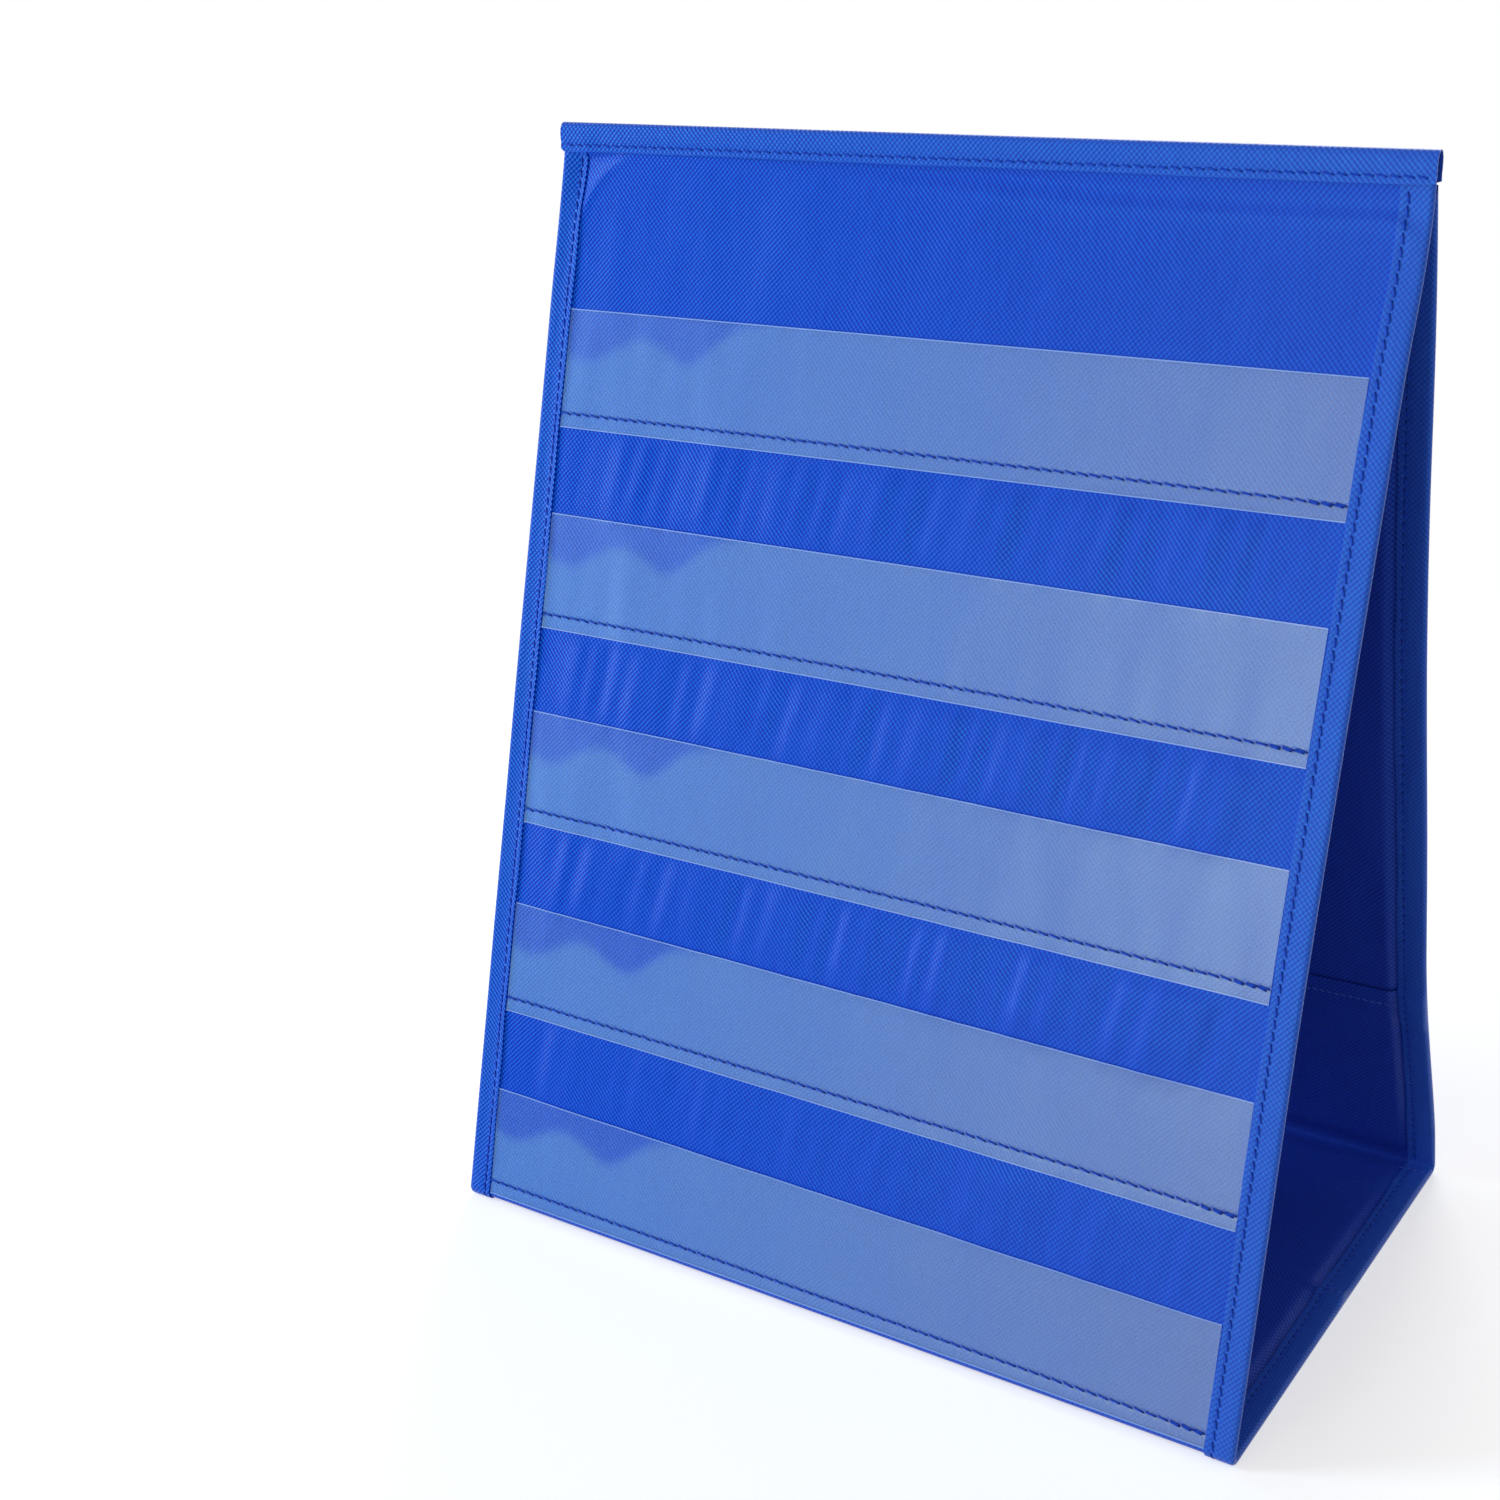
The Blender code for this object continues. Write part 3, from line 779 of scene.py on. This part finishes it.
def stitches(name, rows, pitch, seed, spun=thread):
    """Rows of lockstitch. Each row is (spot, start, end), and spot(along, sideways, height) gives points."""
    chance = np.random.default_rng(seed)
    share, around = np.linspace(-1, 1, 9), np.arange(6) * math.pi / 3
    points = []
    for spot, start, end in rows:
        count = int(round((end - start) / pitch))
        step = (end - start) / count
        centre = start + step * (np.arange(count) + 0.5)
        slant = STITCH_SLANT + STITCH_SLANT_SPREAD * chance.standard_normal(count)
        reach = step * (STITCH_SHARE + STITCH_SHARE_SPREAD * chance.standard_normal(count))
        q = share[None, :, None]
        thick = THREAD * (1 - 0.3 * q**8)
        along = centre[:, None, None] + reach[:, None, None] * q + 0 * around
        sideways = slant[:, None, None] * q + thick * np.cos(around)
        height = THREAD * (0.6 - 1.5 * q**6) + thick * np.sin(around)
        points.append(spot(along, sideways, height).reshape(-1, 3))
    points = np.concatenate(points)
    tubes = len(points) // (len(share) * len(around))
    number = np.arange(len(points)).reshape(tubes, len(share), len(around))
    ahead = np.roll(number, -1, axis=2)
    sides = np.stack([number[:, :-1], ahead[:, :-1], ahead[:, 1:], number[:, 1:]], axis=-1).reshape(-1, 4)
    caps = np.concatenate([number[:, 0, ::-1], number[:, -1]])
    length_on = np.tile(np.repeat(np.linspace(0, pitch, len(share)), len(around)), tubes)
    round_it = np.tile(around * THREAD, tubes * len(share))
    piece = make_piece(name, points, [sides, caps], np.stack([round_it, length_on], axis=-1))
    piece.data.materials.append(spun)
    return piece


def needle_mark(x, below_row, wide, high):
    """A mark at each needle hole of a pocket's row, which fades from 1 with this width and height."""
    phase = (x + POCKET_HALF) / POCKET_STITCH
    off_needle = (phase - np.round(phase)) * POCKET_STITCH
    return np.exp(-((off_needle / wide) ** 2) - (below_row / high) ** 2)


def film_depth(x, length, row, mouth, number):
    """The film lies on the cloth at its row of stitches and opens towards its mouth."""
    up = np.clip((row - length) / (row - mouth), 0, 1)
    held = 1 - np.abs(x / POCKET_HALF) ** 5
    wave = 0.85 + 0.15 * np.sin(x / MOUTH_WAVE + 1.9 * number)
    opening = MOUTH_OPEN * up**1.4 * held * wave
    lip = FOOT_LIP * smooth((length - row) / POCKET_ROW_RISE)
    dimple = DIMPLE * needle_mark(x, length - row, DIMPLE_REACH, DIMPLE_REACH)
    return -FILM_REST - FILM - opening - lip + dimple


# The clear corner of each film, where the painted reflection is least: how far it reaches down, its scalloped
# edge, and where it ends.
CLEAR_DOWN = 15.5 * MM
SCALLOP, SCALLOP_LENGTH, SCALLOP_START = 4.2 * MM, 7.8 * MM, 9 * MM
CLEAR_ENDS = (52 * MM, 92 * MM)
# Where the painted reflection is full all the way down towards the right end, and how softly the clear
# corner's edge fades.
GLARE_FULL_ENDS = (70 * MM, 95 * MM)
CLEAR_CORNER_FADE = 6 * MM
# Painted glints just below the needle holes, which grow towards the right end.
PAINTED_GLINT_DROP, PAINTED_GLINT_WIDE, PAINTED_GLINT_HIGH = 0.9 * MM, 0.9 * MM, 0.6 * MM
PAINTED_GLINT_ENDS = (20 * MM, 90 * MM)


def film_haze_and_glare(x, length, row, mouth, number):
    """How hazy the film looks, its haze with a painted reflection: least in its upper left corner, and more
    to the right and further down the chart. Towards its right end painted glints also lie below the needle
    holes."""
    from_end = x + POCKET_HALF
    scallop = SCALLOP * np.cos((from_end - SCALLOP_START) / SCALLOP_LENGTH)
    clear_down = (CLEAR_DOWN - 0.05 * from_end + scallop) * (1 - eased(from_end, *CLEAR_ENDS))
    haze_with_painted_glare = 0.1 + 0.9 * smooth((length - mouth - clear_down) / CLEAR_CORNER_FADE + 0.5)
    haze_with_painted_glare = np.maximum(haze_with_painted_glare, eased(from_end, *GLARE_FULL_ENDS))
    haze_with_painted_glare = haze_with_painted_glare * (1 + 0.45 * from_end / (2 * POCKET_HALF)) * (1 + 0.045 * (number - 1))
    # Painted glints below the needle holes.
    painted_glints = 1.6 * needle_mark(x, length - row - PAINTED_GLINT_DROP, PAINTED_GLINT_WIDE, PAINTED_GLINT_HIGH)
    return haze_with_painted_glare + painted_glints * eased(x, *PAINTED_GLINT_ENDS)


def film_row(row, shift, sunk):
    """Where the thread lies on a film, shifted a little along the front and sunk into the vinyl."""

    def spot(along, sideways, height):
        return front.place(along, row + sideways + shift, -FILM_REST - FILM - height - sunk)

    return spot


LOCKED = 13 * MM
LOCKED_END = 1 * MM
LOCKED_SHIFT = 0.45 * MM

for number in range(1, POCKETS + 1):
    mouth = pocket_mouth(number)
    foot = mouth + POCKET_HEIGHT
    row = foot - POCKET_ROW_RISE
    above = stepped(mouth + PAINTED_EDGE_BAND, row - FILM_STEP, FILM_STEP)[:-1]
    dimpled = stepped(row - FILM_STEP, row + FILM_STEP, DIMPLE_STEP)
    lengths = np.concatenate([[mouth], above, dimpled, [foot - PAINTED_EDGE_BAND, foot]])
    columns = 4 * int(round(2 * POCKET_HALF / POCKET_STITCH))
    x, length = np.meshgrid(np.linspace(-POCKET_HALF, POCKET_HALF, columns + 1), lengths)
    outer = film_depth(x, length, row, mouth, number) - front_folds(x, length)
    film = layer(f"pocket_{number}_film", front.place, x, length, outer, FILM)
    film.data.materials.append(film_clear)
    film.data.materials.append(film_edge_highlight)
    # The cut edges and the bands beside them take the painted highlight.
    strips, wide = x.shape[0] - 1, x.shape[1] - 1
    on_face = np.zeros((2, strips, wide), np.int32)
    on_face[:, 0] = on_face[:, -1] = 1
    indexes = np.ones(len(film.data.polygons), np.int32)
    indexes[: 2 * strips * wide] = on_face.ravel()
    film.data.polygons.foreach_set("material_index", indexes)
    # Haze and painted reflection at each point of the film.
    haze_with_painted_glare = film_haze_and_glare(x, length, row, mouth, number).ravel()
    haze_and_glare_points = film.data.attributes.new("film_haze_and_painted_glare", "FLOAT", "POINT")
    haze_and_glare_points.data.foreach_set("value", np.concatenate([haze_with_painted_glare, haze_with_painted_glare]).astype(np.float32))
    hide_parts(f"pocket_film_{number}")
    locked = (film_row(row, LOCKED_SHIFT, 0.3 * THREAD), POCKET_HALF - LOCKED, POCKET_HALF - LOCKED_END)
    rows = [(film_row(row, 0, 0), -POCKET_HALF, POCKET_HALF), locked]
    sewn = stitches(f"pocket_{number}_thread", rows, POCKET_STITCH, number)
    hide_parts(f"pocket_stitches_{number}")
    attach(film, "front_panel")
    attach(sewn, "front_panel")

# Side tapes
# Strips of the same cloth, folded over both side edges of every panel and sewn through all layers.
# The cut edge of each strip stays raw. The hinge rows cross them at both folds of the base.
TAPE = 0.5 * MM
TAPE_WIDTH = 10.5 * MM
TAPE_ROW = 7.9 * MM
TAPE_OUTSIDE = -0.8 * MM
TAPE_INSIDE = EDGE_STACK + LAYER_GAP + TAPE
# Like the outer cloth's, these run from painted shade in the weave's pits to painted light on its floats.
TAPE_DEEP = "#0A2EAE"
TAPE_BRIGHT = "#2472EE"
TAPE_STITCH = 4.0 * MM
TAPE_INNER_NECK = 6.5 * MM
TAPE_ROW_SUNK = 0.22 * MM
TAPE_TOPS = {FRONT: -1.5 * MM, BACK: 0.4 * MM}
# One leg of the strip in section: how far in from the edge, and how far sunk, in mm.
TAPE_LEG = ((10.5, 0.1), (9.8, 0.04), (9.0, 0.06), (8.4, 0.18), (7.9, 0.26))
TAPE_LEG += ((7.4, 0.18), (6.6, 0.05), (5.2, 0), (3.4, 0))
RAW_EDGE = 9 * MM
RAW_WAVE, RAW_RIPPLE = 17 * MM, 6.3 * MM
tape_cloth = woven_polyester("blue_polyester_binding_strip", TAPE_DEEP, TAPE_BRIGHT, 0.14 * MM, 0.55, 0.5)


def tape_path():
    """The strip's outer face in section: how far in from the edge and how deep, from cut edge to cut edge."""
    radius = (TAPE_INSIDE - TAPE_OUTSIDE) / 2
    middle = (TAPE_INSIDE + TAPE_OUTSIDE) / 2
    outer = [(inward * MM, TAPE_OUTSIDE + sunk * MM) for inward, sunk in TAPE_LEG] + [(radius, TAPE_OUTSIDE)]
    turn = [math.pi * step / 8 for step in range(1, 8)]
    arc = [(radius - radius * math.sin(angle), middle - radius * math.cos(angle)) for angle in turn]
    inner = [(inward, 2 * middle - deep) for inward, deep in reversed(outer)]
    return np.array(outer + arc + inner)


def inner_face(path):
    """The strip's inner face in section, one thickness in from its outer face."""
    ahead = np.gradient(path, axis=0)
    ahead = ahead / np.linalg.norm(ahead, axis=1)[:, None]
    return path + TAPE * np.stack([ahead[:, 1], -ahead[:, 0]], axis=1)


def along_section(path):
    """How far along the strip's section each of its points lies."""
    return np.concatenate([[0], np.cumsum(np.linalg.norm(np.diff(path, axis=0), axis=1))])


def side_tape(name, hand, rows, spot, starts=None):
    """A strip folded over one side edge. spot(x, along, depth) gives points."""
    path = tape_path()
    share = (rows - rows[0]) / (rows[-1] - rows[0])
    start = np.full(len(path), rows[0]) if starts is None else starts
    along = start[None, :] + (rows[-1] - start[None, :]) * share[:, None]
    raw = 1 + 0.02 * np.sin(along / RAW_WAVE + 2 * hand) + 0.012 * np.sin(along / RAW_RIPPLE)
    grids = []
    for line in (path, inner_face(path)):
        inward = np.where(line[None, :, 0] > RAW_EDGE, line[None, :, 0] * raw, line[None, :, 0])
        grids.append(spot(hand * (PANEL_HALF - inward), along, line[None, :, 1] + 0 * along))
    went = along_section(path)[None, :] + hand * BOARD_HALF + 0 * along
    piece = shell(name, *grids, went, along)
    piece.data.materials.append(tape_cloth)
    return piece


def tape_row(spot, hand, depth, out):
    """Where the thread lies on one leg of a side tape, standing out from the depth given."""
    row_x = hand * (PANEL_HALF - TAPE_ROW)

    def on_tape(along, sideways, height):
        return spot(row_x + sideways, along, depth - out * height)

    return on_tape


def slope_tape(side):
    """Where a slope's tape lies. It is pressed flat under the ridge tape and stands up over the lap."""

    def spot(x, along, depth):
        press = 1 - smooth((along - side.neck + 1 * MM) / (4 * MM))
        below_floor = smooth((along - side.slope_foot) / FOLD_RADIUS) * (depth < TAPE_OUTSIDE)
        lap = smooth((along - LAP + 3 * MM) / (3 * MM)) * lap_rise(along) * 1.6 if side is back else 0
        inner = smooth(depth / TAPE_INSIDE)
        level = np.where(below_floor > 0, depth + (TAPE_OUTSIDE - depth) * below_floor, depth)
        return side.place(x, along, level + 0.28 * MM * press * (depth < 0) + lap * inner)

    return spot


OUTSIDE_ROW, INSIDE_ROW = TAPE_OUTSIDE + TAPE_ROW_SUNK, TAPE_INSIDE - TAPE_ROW_SUNK
for hand, word in ((-1, "left"), (1, "right")):
    section_depth = tape_path()[:, 1]
    for side, panel in ((front, "front"), (back, "back")):
        spot = slope_tape(side)
        top = side.neck + TAPE_TOPS[side.hand]
        inner = smooth(2 * (section_depth - TAPE_OUTSIDE) / (TAPE_INSIDE - TAPE_OUTSIDE) - 1)
        starts = top + (side.neck + TAPE_INNER_NECK - top) * inner
        binding = side_tape(f"{panel}_{word}_binding", hand, rows_of(side, top, LOWEST), spot, starts)
        first = side.neck + 2 * MM
        outside = (tape_row(spot, hand, OUTSIDE_ROW, 1), first, LOWEST - 1 * MM)
        inside = (tape_row(spot, hand, INSIDE_ROW, -1), first + TAPE_INNER_NECK, side.slope_foot - 1 * MM)
        seed = 20 + hand * 3 + side.hand
        sewn = stitches(f"{panel}_{word}_binding_thread", [outside, inside], TAPE_STITCH, seed)
        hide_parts(f"{panel}_{word}_tape")
        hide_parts(f"{panel}_{word}_stitches")
        fold_with(binding, side)
        fold_with(sewn, side)

    binding = side_tape(f"base_{word}_binding", hand, base_rows(), base_place)
    inside = (tape_row(base_place, hand, INSIDE_ROW, -1), -BASE_REACH + 1 * MM, BASE_REACH - 1 * MM)
    sewn = stitches(f"base_{word}_binding_thread", [inside], TAPE_STITCH, 40 + hand)
    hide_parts(f"base_front_{word}_tape", f"base_back_{word}_tape")
    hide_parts(f"base_front_{word}_stitches", f"base_back_{word}_stitches")
    fold_at_seam(binding)
    fold_at_seam(sewn)

# Hinge rows
# Single rows of stitches through every layer: beside both folds of the base, beside its middle seam,
# and across the back where the lower lining is sewn down over the upper one.
HINGE_STITCH = 2.8 * MM
HINGE_END = PANEL_HALF - 2 * MM
HINGE_STEP_UP = 0.6 * MM
HINGE_SUNK = 0.2 * MM
FOLD_ROW_INSET = 0.2 * MM
SEAM_ROW = 2.2 * MM
LAP_ROW = LAP + 7.5 * MM
LAP_ROW_HALF = PANEL_HALF - TAPE_WIDTH - 0.4 * MM
LAP_SUNK = 0.12 * MM
# The inside rows' thread is a lighter blue: a painted highlight, for the light the thread catches there.
HIGHLIT_THREAD_DEEP = "#102E94"
HIGHLIT_THREAD = "#3E68CC"
painted_highlight_thread = spun_polyester("thread_with_painted_highlight", HIGHLIT_THREAD_DEEP, HIGHLIT_THREAD)


def base_row(y):
    """A row that runs across the base on its lining and on the inner legs of its tapes."""

    def spot(along, sideways, height):
        on_tape = smooth((np.abs(along) - PANEL_HALF + TAPE_WIDTH + HINGE_STEP_UP) / HINGE_STEP_UP)
        depth = EDGE_STACK + (TAPE_INSIDE - EDGE_STACK - HINGE_SUNK) * on_tape
        return base_place(along, y + sideways, depth + height)

    return spot, -HINGE_END, HINGE_END


for side, half, seed in ((front, "front", 60), (back, "back", 61)):
    row = base_row(side.hand * (BASE_REACH - FOLD_ROW_INSET))
    sewn = stitches(f"base_{half}_fold_thread", [row], HINGE_STITCH, seed, painted_highlight_thread)
    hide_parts(f"base_{half}_fold_stitches")
    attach(sewn, f"base_{half}")

seam_thread = stitches("base_seam_thread", [base_row(SEAM_ROW)], HINGE_STITCH, 63, painted_highlight_thread)
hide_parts("base_seam_stitches")
fold_at_seam(seam_thread)


def on_lap(along, sideways, height):
    """Points of the row that holds the lap."""
    depth = lower_back_depth(along, LAP_ROW + 0 * along)
    return back.place(along, LAP_ROW + sideways, depth + CLOTH - LAP_SUNK + height)


lap_row = (on_lap, -LAP_ROW_HALF, LAP_ROW_HALF)
lap_thread = stitches("back_lap_thread", [lap_row], HINGE_STITCH, 64, painted_highlight_thread)
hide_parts("back_lap_stitches")
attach(lap_thread, "back_panel")

# Ridge tape
# A strip folded over the top edges of the front and the back and sewn through them all. It runs just
# past both side edges, where it is cut across with a hot knife and stands open.
RIDGE_RADIUS = RIDGE_HALF + LAYER_GAP + TAPE
RIDGE_END = PANEL_HALF + 0.4 * MM
RIDGE_ROW = 2.3 * MM
RIDGE_STITCH = 4.2 * MM
RIDGE_STEP, RIDGE_END_STEP = 2 * MM, 0.5 * MM
RIDGE_PUFF = 0.05 * MM
RIDGE_END_PUFF = 0.42 * MM
RIDGE_PUFF_ENDS = (147 * MM, 154 * MM)
RIDGE_ROUNDED = (1.1 * MM, 0.4 * MM)
RIDGE_ROUNDED_REACH = 1.8 * MM
# One leg of the strip in section: how far up from its cut edge, and how far out, in mm.
RIDGE_LEG = ((0, 0.22), (0.7, 0.16), (1.5, -0.02), (2.3, -0.16), (3.1, -0.04), (4.4, 0.08), (6.4, 0.04))


def end_puff(x):
    """How much further out the strip lies over the side tapes at its ends."""
    return RIDGE_END_PUFF * eased(np.abs(x), *RIDGE_PUFF_ENDS)


def ridge_path(puff):
    """The outer face in section, as y and z, from the front cut edge over the ridge to the back one."""
    centre = RIDGE_TOP - RIDGE_RADIUS
    line = [(RIDGE_RADIUS + out * MM + puff, TAPE_FOOT + up * MM) for up, out in RIDGE_LEG]
    line.append((RIDGE_RADIUS + puff / 2, centre))
    turn = [math.pi * step / 10 for step in range(1, 10)]
    arc = [(RIDGE_RADIUS * math.cos(angle), centre + RIDGE_RADIUS * math.sin(angle)) for angle in turn]
    return np.array([(-y, z) for y, z in line + arc] + line[::-1])


ends = np.arange(4) * RIDGE_END_STEP
columns = stepped(-RIDGE_END + RIDGE_STEP, RIDGE_END - RIDGE_STEP, RIDGE_STEP)
columns = np.concatenate([-RIDGE_END + ends, columns, RIDGE_END - ends[::-1]])
outer_grid, inner_grid = [], []
for x in columns:
    path = ridge_path(RIDGE_PUFF + end_puff(x))
    wave = 0.12 * MM * math.sin(x / (23 * MM)) + 0.07 * MM * math.sin(x / (8 * MM))
    rounded = RIDGE_ROUNDED[int(x > 0)] * smooth((abs(x) - RIDGE_END) / RIDGE_ROUNDED_REACH + 1) ** 2
    for grid, line in ((outer_grid, path), (inner_grid, inner_face(path))):
        low = smooth((RIDGE_TOP - line[:, 1]) / (RIDGE_TOP - TAPE_FOOT))
        grid.append(np.stack([x + 0 * low, line[:, 0], line[:, 1] + (wave + rounded) * low], axis=-1))
grids = np.array(outer_grid), np.array(inner_grid)
ridge = shell("ridge_binding", *grids, columns[:, None], along_section(path)[None, :])
ridge.data.materials.append(tape_cloth)


def ridge_row(hand):
    """The row on one leg of the ridge tape."""

    def spot(along, sideways, height):
        y = hand * (RIDGE_RADIUS - 0.1 * MM + height + end_puff(along))
        z = TAPE_FOOT + RIDGE_ROW + hand * sideways
        return np.stack(np.broadcast_arrays(along, y, z), axis=-1)

    return spot, -RIDGE_END + 2 * MM, RIDGE_END - 2 * MM


rows = [ridge_row(hand) for hand in (FRONT, BACK)]
ridge_thread = stitches("ridge_binding_thread", rows, RIDGE_STITCH, 70)
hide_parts("ridge_tape")
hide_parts("ridge_stitches")
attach(ridge, "front_panel")
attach(ridge_thread, "front_panel")

# Studio
# A pale floor that fades into a white room. Soft lamps stand low and high at the left, in front, at the
# right and behind. One of those in front is seen only in what shines.
FLOOR_HALF = 20
FLOOR_DROP = 0.05 * MM
FADE_START, FADE_END = 0.35, 0.9
FLOOR_LIFT = 0.57
ROOM_LIGHT = 0.34
AIM = Vector((0, 0, 0.2))


def plainly_seen(owner):
    """1 where the eye, a mirror or a clear film meets it, and 0 where it only lights the object."""
    kind = add(owner, "ShaderNodeLightPath", {})
    seen = {0: kind.outputs["Is Camera Ray"], 1: kind.outputs["Is Glossy Ray"]}
    seen = add(owner, "ShaderNodeMath", seen, operation="MAXIMUM")
    seen = {0: seen, 1: kind.outputs["Is Transmission Ray"]}
    return add(owner, "ShaderNodeMath", seen, operation="MAXIMUM")


floor_mesh = bpy.data.meshes.new("studio_floor")
corners = [(x * FLOOR_HALF, y * FLOOR_HALF, -FLOOR_DROP) for x, y in ((-1, -1), (1, -1), (1, 1), (-1, 1))]
floor_mesh.from_pydata(corners, [], [(0, 1, 2, 3)])
floor = bpy.data.objects.new("studio_floor", floor_mesh)
bpy.context.collection.objects.link(floor)
paper = bpy.data.materials.new("white_paper_sweep")
paper.use_nodes = True
paper.node_tree.nodes.remove(paper.node_tree.nodes["Principled BSDF"])
seen = plainly_seen(paper)
spot_on = add(paper, "ShaderNodeTexCoord", {})
away = add(paper, "ShaderNodeVectorMath", {0: spot_on.outputs["Object"]}, operation="LENGTH")
far = {"Value": away.outputs["Value"], "From Min": FADE_START, "From Max": FADE_END}
far = add(paper, "ShaderNodeMapRange", far)
lit = add(paper, "ShaderNodeBsdfDiffuse", {"Color": (0.72, 0.72, 0.72, 1)})
lift = add(paper, "ShaderNodeMath", {0: seen, 1: FLOOR_LIFT}, operation="MULTIPLY")
glow = add(paper, "ShaderNodeEmission", {"Color": (1, 1, 1, 1), "Strength": lift})
near_floor = add(paper, "ShaderNodeAddShader", {0: lit, 1: glow})
white = add(paper, "ShaderNodeEmission", {"Color": (1, 1, 1, 1), "Strength": 1.0})
fade = add(paper, "ShaderNodeMath", {0: far, 1: seen}, operation="MULTIPLY")
sweep = add(paper, "ShaderNodeMixShader", {0: fade, 1: near_floor, 2: white})
feed(paper, paper.node_tree.nodes["Material Output"], {"Surface": sweep})
floor_mesh.materials.append(paper)
floor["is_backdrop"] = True

world = bpy.data.worlds.new("white_room")
bpy.context.scene.world = world
world.use_nodes = True
level = {"Value": plainly_seen(world), "To Min": ROOM_LIGHT, "To Max": 1.0}
level = add(world, "ShaderNodeMapRange", level)
feed(world, world.node_tree.nodes["Background"], {"Color": (1, 1, 1, 1), "Strength": level})

for name, place, size, watts, tone in (
    ("key_lamp", (-1.8, -1.15, 0.35), 0.6, 11, "#FFFFFF"),
    ("high_lamp", (-2.5, -1.3, 1.75), 0.8, 35, "#D2ECFF"),
    ("front_lamp", (-0.15, -1.9, 0.3), 0.9, 14, "#FFEFE2"),
    ("gloss_lamp", (0.0, -2.3, 0.4), 1.2, 4, "#FFFFFF"),
    ("right_lamp", (1.9, 0.1, 0.9), 1.0, 2, "#FFFFFF"),
    ("back_lamp", (-0.6, 1.9, 1.6), 1.2, 20, "#FFFFFF"),
):
    lamp = bpy.data.objects.new(name, bpy.data.lights.new(name, "AREA"))
    lamp.data.shape = "SQUARE"
    lamp.data.size = size
    lamp.data.energy = watts
    lamp.data.color = colour(tone)[:3]
    lamp.visible_diffuse = name != "gloss_lamp"
    lamp.location = place
    lamp.rotation_mode = "QUATERNION"
    lamp.rotation_quaternion = (AIM - Vector(place)).to_track_quat("-Z", "Y")
    bpy.context.collection.objects.link(lamp)

# Camera
# It stands where the photograph was taken from, found by laying the chart's own edges over it.
AZIMUTH, ELEVATION, ROLL = (math.radians(angle) for angle in (35.65, 22.47, -2.74))
CAMERA_PLACE = (0.376, -0.706, 0.509)
FOCAL_PIXELS, IMAGE_PIXELS, SENSOR = 2261, 1500, 36
CENTRE_PIXEL = (671.1, 787.7)
flat_reach = math.cos(ELEVATION)
away_from = (math.sin(AZIMUTH) * flat_reach, -math.cos(AZIMUTH) * flat_reach, math.sin(ELEVATION))
away_from = Vector(away_from)
level = Vector((0, 0, 1)).cross(away_from).normalized()
upright = away_from.cross(level)
right = level * math.cos(ROLL) + upright * math.sin(ROLL)
up = upright * math.cos(ROLL) - level * math.sin(ROLL)
camera = bpy.data.objects.new("camera", bpy.data.cameras.new("camera"))
camera.data.sensor_width = SENSOR
camera.data.lens = SENSOR * FOCAL_PIXELS / IMAGE_PIXELS
camera.data.shift_x = (IMAGE_PIXELS / 2 - CENTRE_PIXEL[0]) / IMAGE_PIXELS
camera.data.shift_y = (CENTRE_PIXEL[1] - IMAGE_PIXELS / 2) / IMAGE_PIXELS
turned = Matrix((right, up, away_from)).transposed()
camera.matrix_world = Matrix.Translation(CAMERA_PLACE) @ turned.to_4x4()
bpy.context.collection.objects.link(camera)
bpy.context.scene.camera = camera
bpy.context.scene.view_settings.view_transform = "Standard"

low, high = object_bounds()
